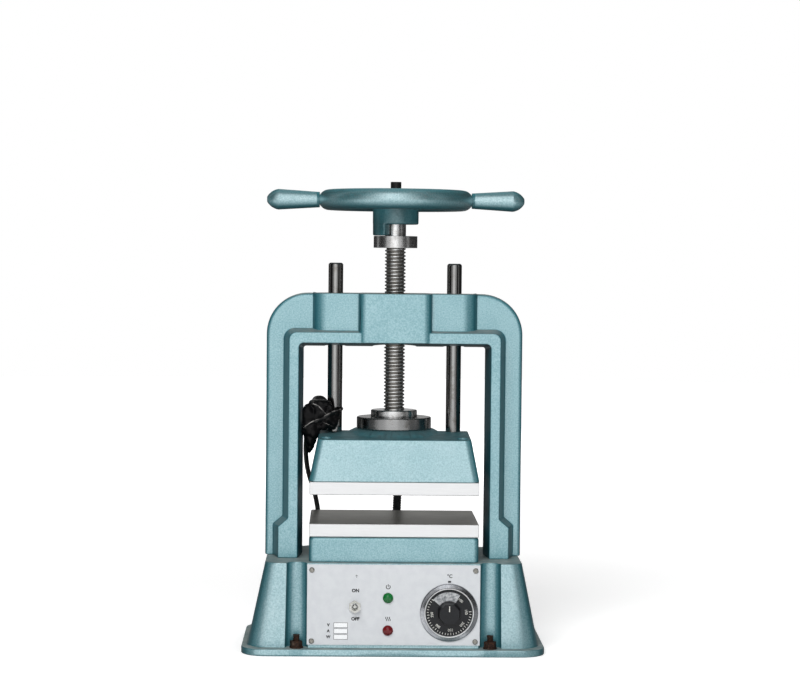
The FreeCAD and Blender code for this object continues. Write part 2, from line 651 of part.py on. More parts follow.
def ring_sector(outer_r, inner_r, z0, z1, sector):
    """The part of a ring between two angles about the screw."""
    far = 2 * outer_r
    corner_a, corner_b = [(far * math.cos(math.radians(a)), far * math.sin(math.radians(a)), z0)
                          for a in sector]
    wedge = Part.Face(polygon([(0, 0, z0), corner_a, corner_b])).extrude(V(0, 0, z1 - z0))
    return tube(outer_r, inner_r, (0, 0, z0), (0, 0, z1)).common(wedge)


def make_drive_bar():
    """A collar pinned on the shank; the bar on its top takes the blows of the wheel's dog."""
    low, high = DRIVE_COLLAR_Z
    collar = tube(DRIVE_COLLAR_D / 2, SCREW_D / 2, (0, 0, low), (0, 0, high))
    bar = ring_sector(DRIVE_COLLAR_D / 2, DOG_INNER_R, high, DRIVE_BAR_TOP, DRIVE_BAR_SECTOR)
    pin_hole = rod(DRIVE_PIN_D / 2, (0, 0, DRIVE_PIN_Z), (0, DRIVE_COLLAR_D, DRIVE_PIN_Z))
    return [without(fused([collar, bar]), [pin_hole]), drive_pin()]


def make_top_screw():
    seat = SCREW_TOP + TOP_WASHER[1]
    return cap_screw(0, 0, seat, SCREW_TOP - 20, *CAP_SCREW_HEAD, CAP_SCREW_D, HEX_KEY)


def make_top_washer():
    outer_d, thickness = TOP_WASHER
    return tube(outer_d / 2, CAP_SCREW_D / 2 + 0.3, (0, 0, SCREW_TOP), (0, 0, SCREW_TOP + thickness))


# ---------------------------------------------------------------- handwheel
def oval_wire(x, z, half_y, half_z):
    """An oval across a spoke: wider than it is high."""
    edge = Part.Ellipse(V(x, 0, z), half_y, half_z).toShape()
    edge.rotate(V(x, 0, z), Z_AXIS, 90)
    edge.rotate(V(x, 0, z), Y_AXIS, 90)
    return Part.Wire(edge)


def make_spoke(turn):
    inner = oval_wire(WHEEL_HUB_D / 2 - 9, RIM_Z, *SPOKE_HUB_OVAL)
    outer = oval_wire(RIM_R - 2, RIM_Z, *SPOKE_RIM_OVAL)
    spoke = Part.makeLoft([inner, outer], True, True)
    spoke.rotate(V(0, 0, 0), Z_AXIS, turn)
    return spoke


def make_dog():
    """A sector of the hub's skirt that hangs down and rides on the drive collar."""
    return ring_sector(WHEEL_HUB_D / 2, DOG_INNER_R, DOG_Z, WHEEL_HUB_Z[0] + 1, DOG_SECTOR)


def make_handwheel():
    rim = Part.makeTorus(RIM_R, RIM_TUBE_R, V(0, 0, RIM_Z))
    hub = rod(WHEEL_HUB_D / 2, (0, 0, WHEEL_HUB_Z[0]), (0, 0, WHEEL_HUB_Z[1]))
    hub = hub.makeFillet(3.0, [e for e in hub.Edges if abs(e.BoundBox.ZMin - WHEEL_HUB_Z[1]) < 0.01])
    body = fused([rim, hub, make_dog()] + [make_spoke(90.0 * k) for k in range(4)])
    bore = rod(SCREW_D / 2 + RUN_FIT, (0, 0, DOG_Z - 1), (0, 0, WHEEL_HUB_Z[1] + 1))
    sockets = [rod(HANDLE_STEM_R, (side * (RIM_R - 4), 0, RIM_Z), (side * (RIM_R + 20), 0, RIM_Z))
               for side in (-1, 1)]
    return without(body, [bore] + sockets)


def make_handle(side):
    """A turned handle: a neck against the rim, swelling to a blunt pointed end."""
    neck = RIM_R + RIM_TUBE_R - 1.5
    profile = [V(RIM_R - 4, 0, 0), V(RIM_R - 4, 0, HANDLE_STEM_R), V(neck, 0, HANDLE_STEM_R),
               V(neck, 0, HANDLE_NECK_R), V(HANDLE_REACH - 14, 0, HANDLE_END_R)]
    edges = [Part.LineSegment(a, b).toShape() for a, b in zip(profile, profile[1:])]
    shoulder = V(HANDLE_REACH - 4.5, 0, HANDLE_END_R - 4.2)
    nose = V(HANDLE_REACH, 0, 3.0)
    tip = V(HANDLE_REACH, 0, 0)
    edges.append(Part.Arc(profile[-1], shoulder, nose).toShape())
    edges.append(Part.LineSegment(nose, tip).toShape())
    edges.append(Part.LineSegment(tip, profile[0]).toShape())
    handle = Part.Face(Part.Wire(edges)).revolve(V(0, 0, 0), X_AXIS, 360)
    rim = Part.makeTorus(RIM_R, RIM_TUBE_R + 0.02, V(0, 0, 0))
    stem = rod(HANDLE_STEM_R, (RIM_R - 4, 0, 0), (RIM_R + RIM_TUBE_R + 2, 0, 0))
    handle = fused([handle.cut(rim), stem])
    handle.translate(V(0, 0, RIM_Z))
    if side < 0:
        handle.rotate(V(0, 0, RIM_Z), Z_AXIS, 180)
    return handle


# ---------------------------------------------------------------- control panel
def make_control_panel():
    plate = box(-PANEL_W / 2, PANEL_W / 2, PANEL_FACE_Y, FACE_Y, *PANEL_Z)

    def hole(place, radius):
        return rod(radius, (place[0], PANEL_FACE_Y - 1, place[1]), (place[0], FACE_Y + 1, place[1]))

    holes = [hole(at, PANEL_SCREW_D / 2 + 0.2) for at in PANEL_SCREWS]
    holes += [hole(TOGGLE_AT, 6.0), hole(GREEN_LAMP_AT, 5.0), hole(RED_LAMP_AT, 5.0), hole(DIAL_AT, 22.0)]
    return without(plate, holes)


def make_panel_screws():
    screws = []
    for x, z in PANEL_SCREWS:
        head = rod(3.2, (x, PANEL_FACE_Y, z), (x, PANEL_FACE_Y - 2.2, z))
        rim = [e for e in head.Edges if abs(e.BoundBox.YMin - (PANEL_FACE_Y - 2.2)) < 0.01]
        head = head.makeFillet(1.4, rim)
        shank = rod(PANEL_SCREW_D / 2, (x, PANEL_FACE_Y, z), (x, FACE_Y + 5, z))
        screws.append(fused([head, shank]))
    return screws


def make_toggle_body():
    """The switch's case and its threaded bush, bored out round the lever's ball."""
    x, z = TOGGLE_AT
    case = box(x - 7, x + 7, FACE_Y, FACE_Y + 22, z - 14, z + 14)
    bush = rod(TOGGLE_BUSH_R, (x, FACE_Y, z), (x, PANEL_FACE_Y - 7, z))
    room = rod(TOGGLE_ROOM_R, (x, PANEL_FACE_Y - 8, z), (x, TOGGLE_PIVOT_Y + TOGGLE_ROOM_R, z))
    hole_r = TOGGLE_PIN_R + TOGGLE_PIN_GAP
    pin_hole = rod(hole_r, (x - 5.6, TOGGLE_PIVOT_Y, z), (x + 5.6, TOGGLE_PIVOT_Y, z))
    return without(fused([case, bush]), [room, pin_hole])


def make_toggle_nut():
    x, z = TOGGLE_AT
    nut = hexagon_prism(13.5, (x, PANEL_FACE_Y, z), (x, PANEL_FACE_Y - 3, z), turn=30)
    return without(nut, [rod(TOGGLE_BUSH_R, (x, PANEL_FACE_Y + 1, z), (x, PANEL_FACE_Y - 4, z))])


def make_toggle_lever():
    """A bat lever with its ball and cross pin, drawn straight out and then tilted up to ON."""
    x, z = TOGGLE_AT
    pivot = V(x, TOGGLE_PIVOT_Y, z)
    ball = Part.makeSphere(3.1, pivot)
    bat = taper(1.5, 2.9, (x, TOGGLE_PIVOT_Y - 2, z), (x, TOGGLE_PIVOT_Y - 20, z))
    tip = Part.makeSphere(2.9, V(x, TOGGLE_PIVOT_Y - 20, z))
    pin = rod(TOGGLE_PIN_R, (x - 5.0, TOGGLE_PIVOT_Y, z), (x + 5.0, TOGGLE_PIVOT_Y, z))
    lever = fused([ball, bat, tip, pin])
    lever.rotate(pivot, X_AXIS, -TOGGLE_TILT)
    return lever


def make_lens(place):
    """A domed lens with a plain ring under it."""
    x, z = place
    ring = rod(LAMP_D / 2, (x, PANEL_FACE_Y, z), (x, PANEL_FACE_Y - 1.6, z))
    ball = Part.makeSphere(7.0, V(x, PANEL_FACE_Y + 1.5, z))
    dome = ball.common(rod(5.4, (x, PANEL_FACE_Y - 1.6, z), (x, PANEL_FACE_Y - 9, z)))
    stem = rod(5.0, (x, PANEL_FACE_Y, z), (x, FACE_Y, z))
    return fused([ring, dome, stem])


def make_lamp_bodies():
    return [rod(6.5, (x, FACE_Y, z), (x, FACE_Y + 26, z)) for x, z in (GREEN_LAMP_AT, RED_LAMP_AT)]


def make_thermostat_body():
    x, z = DIAL_AT
    case = rod(24.0, (x, FACE_Y + 2, z), (x, FACE_Y + 32, z))
    neck = rod(8.0, (x, FACE_Y + 2, z), (x, PANEL_FACE_Y - 0.5, z))
    bore = rod(DIAL_SHAFT_R + RUN_FIT, (x, PANEL_FACE_Y - 1, z), (x, FACE_Y + 12, z))
    ears = box(x - 27, x + 27, FACE_Y + 2, FACE_Y + 4, z - 8, z + 8)
    return without(fused([case, neck, ears]), [bore])


def make_dial_bezel():
    """A pressed ring with a sloping face, open in the middle for the dial."""
    x, z = DIAL_AT
    inner_r = DIAL_D / 2 + 0.4
    outer_r = BEZEL_D / 2
    profile = [(inner_r, 0.0), (outer_r, 0.0), (outer_r, 1.6), (outer_r - 2.2, BEZEL_T - 0.6),
               (outer_r - 3.6, BEZEL_T), (inner_r + 1.0, BEZEL_T - 1.2), (inner_r, BEZEL_T - 2.2)]
    face = Part.Face(polygon([(r, -h, 0) for r, h in profile]))
    ring = face.revolve(V(0, 0, 0), Y_AXIS, 360)
    ring.translate(V(x, PANEL_FACE_Y, z))
    return ring


def make_dial_knob():
    """The numbered disc, its eight-sided grip and its shaft turn as one."""
    x, z = DIAL_AT
    disc = rod(DIAL_D / 2, (x, PANEL_FACE_Y - 1.2, z), (x, PANEL_FACE_Y - 3.2, z))
    grip_points = [(KNOB_D / 2 * math.cos(math.radians(45 * k + 22.5)),
                    KNOB_D / 2 * math.sin(math.radians(45 * k + 22.5))) for k in range(8)]
    lower = polygon([(a, 0, b) for a, b in grip_points])
    upper = polygon([(0.86 * a, -13.0, 0.86 * b) for a, b in grip_points])
    grip = Part.makeLoft([lower, upper], True, True)
    grip.translate(V(x, PANEL_FACE_Y - 3.2, z))
    shaft = rod(DIAL_SHAFT_R, (x, PANEL_FACE_Y - 1.2, z), (x, FACE_Y + 10, z))
    return fused([disc, grip, shaft])


# ---------------------------------------------------------------- fastenings and glands
def make_hold_down_stud(side):
    x = side * FLUTE_X
    return rod(STUD_D / 2, (x, FACE_Y, 0.2), (x, FACE_Y, STUD_TOP))


def make_hold_down_nut(side):
    x = side * FLUTE_X
    seat = FLANGE_T + STUD_WASHER[1]
    nut = hexagon_prism(STUD_NUT[0], (x, FACE_Y, seat), (x, FACE_Y, seat + STUD_NUT[1]), turn=10 * side)
    return without(nut, [rod(STUD_D / 2, (x, FACE_Y, 0), (x, FACE_Y, 40))])


def make_hold_down_washer(side):
    x = side * FLUTE_X
    outer_d, thickness = STUD_WASHER
    return tube(outer_d / 2, STUD_D / 2 + 0.2, (x, FACE_Y, FLANGE_T), (x, FACE_Y, FLANGE_T + thickness))


def gland(face, way, bore_d, body_d, reach, seat):
    """A screwed gland: a thread in the wall, a flange on it and a dome nut round the cord."""
    start = V(*face)
    way = V(*way)

    def at(distance):
        point = start + way * distance
        return (point.x, point.y, point.z)

    flange_end = 0.4 * reach
    pieces = [rod(body_d / 2, at(-seat), at(0.0)),
              rod(body_d / 2 + GLAND_RIM, at(0.0), at(flange_end)),
              taper(body_d / 2 + GLAND_RIM - 1.0, bore_d / 2 + 1.5, at(flange_end), at(reach))]
    return without(fused(pieces), [rod(bore_d / 2, at(-seat - 1), at(reach + 1))])


def back_gland(inlet, bore_d, body_d, reach):
    """A gland through the back wall of the base."""
    x, z = inlet
    return gland((x, BASE_D / 2, z), (0, 1, 0), bore_d, body_d, reach, BASE_WALL + 3)


# ---------------------------------------------------------------- cords
def cord_tube(name, route, diameter):
    """A round cord along straight runs joined by tangent arcs."""
    points = [V(*p) for p in route]
    edges = []
    radii = []
    here = points[0]
    for before, corner, after in zip(points, points[1:], points[2:]):
        back = (before - corner).normalize()
        ahead = (after - corner).normalize()
        half_turn = (math.pi - back.getAngle(ahead)) / 2
        cut = 0.45 * min((before - corner).Length, (after - corner).Length)
        radius = cut / math.tan(half_turn)
        radii.append(radius)
        start = corner + back * cut
        end = corner + ahead * cut
        middle_way = (back + ahead).normalize()
        middle = corner + middle_way * (radius / math.cos(half_turn) - radius)
        edges.append(Part.LineSegment(here, start).toShape())
        edges.append(Part.Arc(start, middle, end).toShape())
        here = end
    edges.append(Part.LineSegment(here, points[-1]).toShape())
    path = Part.Wire(edges)
    section = Part.Wire(Part.Circle(points[0], points[1] - points[0], diameter / 2).toShape())
    cord = path.makePipeShell([section], True, True)
    by_length = path.Length * math.pi * diameter ** 2 / 4
    print(f"{name}: length {path.Length:.0f} mm, radii {[round(r) for r in radii]} mm, "
          f"volume {cord.Volume / by_length:.3f} of section x length")
    return cord


def make_lead_coil():
    x, z = LEAD_COIL_AT
    return tube(LEAD_COIL_R, LEAD_COIL_INNER_R, (x, LEAD_COIL_Y[0], z), (x, LEAD_COIL_Y[1], z))


# ---------------------------------------------------------------- the nodes
os.makedirs("parts", exist_ok=True)

save("base_casting", make_base_casting())
save("bottom_cover", make_bottom_cover())
save("cover_screws", make_cover_screws())
save("press_frame", make_press_frame())
save("frame_bolts", make_frame_bolts())
save("screw_nut", make_screw_nut())
save("guide_bushes", both_sides(make_guide_bush))

save("lower_head", make_lower_head())
save("lower_head_bolts", make_lower_head_bolts())
save("lower_insulation", make_insulation(LOWER_PLATEN_Z - POCKET_DEEP, LOWER_PLATEN_Z - HEATER_T))
save("lower_heater", make_heater(LOWER_PLATEN_Z - HEATER_T))
save("lower_platen", make_platen(LOWER_PLATEN_Z, False))

save("upper_head", make_upper_head())
save("upper_head_bolts", make_upper_head_bolts())
save("upper_insulation", make_insulation(HEAD_Z + HEATER_T, HEAD_Z + POCKET_DEEP))
save("upper_heater", make_heater(HEAD_Z))
save("upper_platen", make_platen(UPPER_PLATEN_Z, True))
save("guide_rods", make_guide_rods())
save("bearing_flange", make_bearing_flange())
save("flange_screws", make_flange_screws())
save("retaining_cap", make_retaining_cap())
save("thrust_lower_race", make_thrust_race(THRUST_Z))
save("thrust_balls", make_thrust_balls())
save("thrust_upper_race", make_thrust_race(THRUST_Z + 0.75 * THRUST_T))
save("bearing_washer", make_bearing_washer())

save("main_screw", make_main_screw())
save("drive_bar", make_drive_bar())
save("top_washer", make_top_washer())
save("top_screw", make_top_screw())
save("handwheel", make_handwheel())
save("wheel_handles", both_sides(make_handle))

save("control_panel", make_control_panel())
save("panel_screws", make_panel_screws())
save("toggle_body", make_toggle_body())
save("toggle_nut", make_toggle_nut())
save("toggle_lever", make_toggle_lever())
save("green_lens", make_lens(GREEN_LAMP_AT))
save("red_lens", make_lens(RED_LAMP_AT))
save("lamp_bodies", make_lamp_bodies())
save("thermostat_body", make_thermostat_body())
save("dial_bezel", make_dial_bezel())
save("dial_knob", make_dial_knob())

save("hold_down_studs", both_sides(make_hold_down_stud))
save("hold_down_nuts", both_sides(make_hold_down_nut))
save("hold_down_washers", both_sides(make_hold_down_washer))

save("head_gland", gland(HEAD_GLAND_AT, (0, 0, 1), LEAD_D, GLAND_D, GLAND_REACH, HEAD_GLAND_SEAT))
save("conduit_head_gland", gland(CONDUIT_GLAND_AT, (0, 1, 0), CONDUIT_D, CONDUIT_GLAND_D,
                                 CONDUIT_GLAND_REACH, CONDUIT_GLAND_SEAT))
save("lead_inlet_gland", back_gland(LEAD_INLET, LEAD_D, GLAND_D, GLAND_REACH))
save("conduit_inlet_gland", back_gland(CONDUIT_INLET, CONDUIT_D, CONDUIT_GLAND_D, 20.0))
save("mains_inlet_gland", back_gland(MAINS_INLET, MAINS_D, GLAND_D, GLAND_REACH))
save("lead_from_head", cord_tube("lead_from_head", LEAD_UP_ROUTE, LEAD_D))
save("lead_coil", make_lead_coil())
save("lead_to_base", cord_tube("lead_to_base", LEAD_DOWN_ROUTE, LEAD_D))
save("head_conduit", cord_tube("head_conduit", CONDUIT_ROUTE, CONDUIT_D))
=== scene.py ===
# %% [markdown]
# # A rubber mold vulcanizer, dressed
# The working solids of the press come packed from the CAD model, at their real size and place.
# This lesson gives them their looks: cast and painted iron, turned steel, the control panel,
# the lead and the conduit. Everything is in metres, with +Z up and the front of the press at -Y.

# %% The frame
import math

import bmesh
import bpy
from mathutils import Matrix, Vector, noise
from mathutils.bvhtree import BVHTree


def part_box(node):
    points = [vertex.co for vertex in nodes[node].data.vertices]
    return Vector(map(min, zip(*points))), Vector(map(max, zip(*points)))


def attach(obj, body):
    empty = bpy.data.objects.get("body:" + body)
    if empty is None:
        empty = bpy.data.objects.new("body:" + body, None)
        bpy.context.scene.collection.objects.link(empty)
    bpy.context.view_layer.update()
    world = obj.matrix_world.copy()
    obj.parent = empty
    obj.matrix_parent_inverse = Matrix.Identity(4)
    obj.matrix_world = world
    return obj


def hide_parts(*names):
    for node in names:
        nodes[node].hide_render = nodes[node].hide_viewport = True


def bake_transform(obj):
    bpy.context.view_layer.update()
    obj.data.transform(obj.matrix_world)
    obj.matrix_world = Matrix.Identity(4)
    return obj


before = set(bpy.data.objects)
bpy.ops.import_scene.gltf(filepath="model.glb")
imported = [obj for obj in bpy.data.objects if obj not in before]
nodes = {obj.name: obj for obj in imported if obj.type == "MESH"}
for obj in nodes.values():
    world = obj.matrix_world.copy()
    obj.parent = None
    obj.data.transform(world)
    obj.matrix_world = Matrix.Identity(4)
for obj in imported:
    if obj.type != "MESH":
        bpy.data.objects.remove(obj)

MM = 0.001
scene = bpy.context.scene
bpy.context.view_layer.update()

# %% [markdown]
# ## The camera
# A product of this size is shown best from nearly three metres away through a long lens, so that its
# upright lines stay upright. The camera looks almost level, from slightly left of the middle. A camera
# looks down its own -Z, so it is tipped up by a little less than a right angle.

# %% Camera
CAMERA_AT = Vector((-0.05706, -2.75984, 0.47608))
CAMERA_YAW = 0.0231
CAMERA_PITCH = 0.0404
CAMERA_ROLL = 0.0096
LENS = 101.59

camera_data = bpy.data.cameras.new("camera")
camera_data.lens = LENS
camera_data.sensor_width = 36
camera_data.sensor_fit = "HORIZONTAL"
camera = bpy.data.objects.new("camera", camera_data)
camera.matrix_world = (Matrix.Translation(CAMERA_AT) @ Matrix.Rotation(-CAMERA_YAW, 4, "Z")
                       @ Matrix.Rotation(math.pi / 2 - CAMERA_PITCH, 4, "X")
                       @ Matrix.Rotation(CAMERA_ROLL, 4, "Z"))
scene.collection.objects.link(camera)
scene.camera = camera
print("camera", round(CAMERA_AT.length, 2), "m from the middle of the base")

# %% [markdown]
# ## Writing node trees as sums
# A finish is mostly arithmetic: a mask times a colour, a wave plus some noise. Placing and joining
# every Math node by hand hides that. `Wire` wraps an output socket and turns Python's operators into
# Math nodes, and `Tree.node` makes any other node in one line. Both work in materials and in geometry.

# %% Tree and Wire
def operator(operation, swapped=False):
    """A Python operator that adds a Math node."""
    return lambda self, other: self.tree.maths(operation, *((other, self) if swapped else (self, other)))


class Wire:
    """A number flowing through a node tree."""

    def __init__(self, tree, socket):
        self.tree = tree
        self.socket = socket

    __add__ = __radd__ = operator("ADD")
    __sub__ = operator("SUBTRACT")
    __rsub__ = operator("SUBTRACT", swapped=True)
    __mul__ = __rmul__ = operator("MULTIPLY")
    __truediv__ = operator("DIVIDE")
    __pow__ = operator("POWER")

    def __abs__(self):
        return self.tree.maths("ABSOLUTE", self)

    def clamped(self, low=0.0, high=1.0):
        return self.tree.maths("MINIMUM", self.tree.maths("MAXIMUM", self, low), high)

    def step(self, low, high):
        """0 below low, 1 above high and smooth between them."""
        return self.tree.value("ShaderNodeMapRange", {0: self, 1: low, 2: high, 3: 0.0, 4: 1.0},
                               interpolation_type="SMOOTHSTEP")


class Tree:
    """A node tree under construction, for a material or for geometry."""

    def __init__(self, tree):
        self.tree = tree

    def node(self, kind, inputs=None, **settings):
        made = self.tree.nodes.new(kind)
        for name, value in settings.items():
            setattr(made, name, value)
        for key, value in (inputs or {}).items():
            self.feed(made.inputs[key], value)
        return made

    def value(self, kind, inputs=None, output=0, **settings):
        return Wire(self, self.node(kind, inputs, **settings).outputs[output])

    def maths(self, operation, *values):
        return self.value("ShaderNodeMath", dict(enumerate(values)), operation=operation)

    def feed(self, socket, value):
        source = value.socket if isinstance(value, Wire) else value
        if isinstance(source, bpy.types.NodeSocket):
            self.tree.links.new(source, socket)
        else:
            socket.default_value = source


# %% [markdown]
# ## A finish
# Every material here is a Principled shader with a few textures in front of it. `Finish` holds the
# helpers that they share: the point on the piece in object coordinates, noise at a size given in
# millimetres, colours mixed by a mask, and a bump with its height in millimetres. Colours are written
# as sRGB, from 0 to 255, because that is how a colour card gives them.

# %% Finish
def srgb(red, green, blue):
    """A linear colour from an sRGB one."""
    def linear(level):
        share = level / 255
        return share / 12.92 if share <= 0.04045 else ((share + 0.055) / 1.055) ** 2.4

    return (linear(red), linear(green), linear(blue), 1.0)


class Finish(Tree):
    """One material with a Principled shader."""

    def __init__(self, name, **constants):
        self.material = bpy.data.materials.new(name)
        self.material.use_nodes = True
        super().__init__(self.material.node_tree)
        self.shader = self.tree.nodes["Principled BSDF"]
        for socket, value in constants.items():
            self.feed(self.shader.inputs[socket.replace("_", " ")], value)
        self.place = self.node("ShaderNodeTexCoord")
        self.point = Wire(self, self.place.outputs["Object"])

    def split(self, vector):
        made = self.node("ShaderNodeSeparateXYZ", {0: vector})
        return [Wire(self, output) for output in made.outputs]

    def axes(self):
        """x, y and z of the point, in metres."""
        return self.split(self.point)

    def facing(self):
        """x, y and z of the surface's own direction."""
        return self.split(self.place.outputs["Normal"])

    def radius(self):
        """The point's distance from the Z axis."""
        x, y, _ = self.axes()
        return (x * x + y * y) ** 0.5

    def stretched(self, x, y, z):
        """The point with its axes scaled, so that a texture runs along one of them."""
        return self.value("ShaderNodeMapping", {0: self.point, "Scale": (x, y, z)})

    def speckle(self, size_mm, detail=2.0, roughness=0.5, point=None):
        """Noise from 0 to 1 whose blots are about size_mm across."""
        inputs = {"Vector": point or self.point, "Scale": 1 / (size_mm * MM), "Detail": detail,
                  "Roughness": roughness}
        return self.value("ShaderNodeTexNoise", inputs)

    def cells(self, size_mm, feature="F1"):
        """Distance to the nearest of many scattered points, size_mm apart."""
        inputs = {"Vector": self.point, "Scale": 1 / (size_mm * MM)}
        return self.value("ShaderNodeTexVoronoi", inputs, feature=feature)

    def mixed(self, mask, *colours):
        """The first colour where the mask is 0, the second where it is 1. Three numbers are sRGB."""
        a, b = (srgb(*colour) if isinstance(colour, tuple) and len(colour) == 3 else colour
                for colour in colours)
        return self.value("ShaderNodeMix", {0: mask, 6: a, 7: b}, 2, data_type="RGBA")

    def look(self, colour, roughness, metallic=0.0):
        for socket, value in (("Base Color", colour), ("Roughness", roughness), ("Metallic", metallic)):
            self.feed(self.shader.inputs[socket], value)

    def bump(self, height, depth_mm, strength=0.5, also=()):
        inputs = {"Strength": strength, "Distance": depth_mm * MM, "Height": height}
        made = self.node("ShaderNodeBump", inputs)
        for shader in (self.shader, *also):
            self.feed(shader.inputs["Normal"], made.outputs["Normal"])

    def show(self, kind, *shaders):
        """Send shaders to the output through a Mix Shader or Add Shader node."""
        both = self.node(kind, dict(enumerate(shaders)))
        self.feed(self.tree.nodes["Material Output"].inputs["Surface"], both.outputs[0])


print("node helpers ready")

# %% [markdown]
# ## The lead and the conduit
# Two things feed the heater in the moving head. A soft black lead comes out of a gland on the head's
# left shoulder, lies in three loose turns beside the guide rod and falls behind the press to the base.
# A ribbed conduit leaves the back of the head. Both are NURBS lines through given points, which
# have no corners, as a real lead has none. The turns come from a loop, because a coil is a rule.

# %% Routes
def metres(points):
    return [Vector(point) * MM for point in points]


LEAD_D = 6.0 * MM
LEAD_UP = metres([(-80, 34, 273), (-80.5, 33, 288), (-86.5, 23, 300), (-96, 7, 301), (-97, -11, 300)])
LEAD_DOWN = metres([(-104, -11, 272), (-104.5, 5, 271), (-107, 23, 257), (-108.5, 43, 237),
                    (-108, 65, 218), (-105, 86, 198), (-97, 96, 174), (-92.5, 102, 148),
                    (-91.5, 113, 126), (-91.7, 127, 108), (-92, 134, 90), (-92, 131, 72),
                    (-92, 118, 62), (-92, 102, 62)])
COIL_MIDDLE = Vector((-90, 0, 283)) * MM
COIL_TURNS = 2.82
COIL_POINTS = 14          # a turn
COIL_START = math.radians(112)
CONDUIT_D = 11.5 * MM
CONDUIT = metres([(7, 95, 240), (7, 122, 240), (8, 148, 224), (10, 163, 196), (9, 167, 165), (8, 166, 138),
                  (7.5, 164.5, 117), (7, 162.5, 96), (6, 159, 72.5), (6.5, 147, 53), (7, 127.5, 42),
                  (7, 106, 42)])


def coil_points():
    """Loose turns from the front of the bundle to its back, wider in the middle."""
    count = round(COIL_TURNS * COIL_POINTS)
    points = []
    for k in range(count + 1):
        share = k / count
        angle = COIL_START - 2 * math.pi * COIL_TURNS * share
        radius = (13.4 + 1.8 * math.sin(math.pi * share) + 0.7 * math.sin(2.3 * angle)) * MM
        y = (-31.6 + 18.4 * share + 1.2 * math.sin(1.7 * angle)) * MM
        points.append(COIL_MIDDLE + Vector((radius * math.cos(angle), y, radius * math.sin(angle))))
    return points


over_the_coil = metres([(-98, -11, 298), (-98.5, -24, 298), (-98, -33, 297)])
LEAD_ROUTE = LEAD_UP[:-1] + over_the_coil + coil_points() + LEAD_DOWN
print("lead route has", len(LEAD_ROUTE), "points, conduit", len(CONDUIT))

# %% [markdown]
# A NURBS spline of order 3 is set up after its points are there. Read back through
# `new_from_object`, with no bevel on it, it gives the smooth line as plain points, and those are what
# the tubes are built along.

# %% Smooth lines
def line_object(name, points):
    curve = bpy.data.curves.new(name, "CURVE")
    curve.dimensions = "3D"
    curve.resolution_u = 8
    spline = curve.splines.new("NURBS")
    spline.points.add(len(points) - 1)
    for target, point in zip(spline.points, points):
        target.co = (*point, 1)
    spline.order_u = 3
    spline.use_endpoint_u = True
    return new_object(name, curve)


def new_object(name, data):
    made = bpy.data.objects.new(name, data)
    scene.collection.objects.link(made)
    return made


def plain_mesh(source, keep=False):
    """The evaluated shape of an object as a mesh of its own. The object itself goes, unless kept."""
    bpy.context.view_layer.update()
    mesh = bpy.data.meshes.new_from_object(source.evaluated_get(bpy.context.evaluated_depsgraph_get()))
    if not keep:
        bpy.data.objects.remove(source)
    return mesh


def read_path(line):
    mesh = plain_mesh(line, keep=True)
    points = [vertex.co.copy() for vertex in mesh.vertices]
    bpy.data.meshes.remove(mesh)
    return points


def path_length(points):
    return sum((b - a).length for a, b in zip(points, points[1:]))


# %% [markdown]
# Black rubber is hardly ever black: it has a dusty sheen, and the top of each bend is paler. A little
# coarse noise in its colour and roughness is enough at this size.

# %% Rubber
def make_rubber(name, shade_level, gloss):
    finish = Finish(name, Specular_IOR_Level=0.45)
    dust = finish.speckle(9.0, 3.0).step(0.42, 0.7)
    up = finish.facing()[2].step(0.2, 1.0)
    dark = (shade_level, shade_level, shade_level + 1)
    finish.look(finish.mixed(dust * 0.5 + up * 0.25, dark, (62, 60, 58)), gloss + 0.2 * dust)
    finish.bump(finish.speckle(1.2, 3.0), 0.12)
    return finish


cord_rubber = make_rubber("cord_rubber", 20, 0.38)
conduit_black = make_rubber("conduit_black", 17, 0.42)

# %% [markdown]
# Every piece ends in the same way. It takes its material, rides on the body that it moves with, and
# the CAD nodes that it stands for are hidden. The lead is the first one: it spans two bodies, so it
# rides on neither.

# %% The lead
def shade(mesh, degrees=35):
    mesh.polygons.foreach_set("use_smooth", [True] * len(mesh.polygons))
    mesh.set_sharp_from_angle(angle=math.radians(degrees))


def dressed(piece, finish, body, slot, *stands_for):
    """Give a piece its finish, the body that it moves with and the CAD nodes that it stands for."""
    piece.data.materials.clear()
    piece.data.materials.append(finish.material)
    if body:
        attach(piece, body)
    if stands_for:
        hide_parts(*stands_for)
    print(piece.name, "has", len(piece.data.polygons), "faces")


lead_line = line_object("lead_line", LEAD_ROUTE)
lead_path = read_path(lead_line)
lead_line.data.bevel_depth = LEAD_D / 2
lead_line.data.bevel_resolution = 5
lead_line.data.use_fill_caps = True
lead = new_object("lead", plain_mesh(lead_line))
shade(lead.data)
dressed(lead, cord_rubber, None, "cord", "lead_from_head", "lead_coil", "lead_to_base")
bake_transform(lead)
LEAD_LENGTH = 0.645
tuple(LEAD_ROUTE[0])
print("lead: smooth line", round(path_length(lead_path), 3), "m, stated", LEAD_LENGTH)

# %% [markdown]
# The turns of the lead are packed in a sleeve of black film, crushed on the head's shoulder. Crushed
# film has hollow facets with sharp folds between them. So lumps are laid over the turns, a voxel remesh
# melts them into one skin, and each point of it is pushed out by its distance to the nearest of some
# scattered points. That is least in the middle of a cell and greatest on its border, where the folds are.

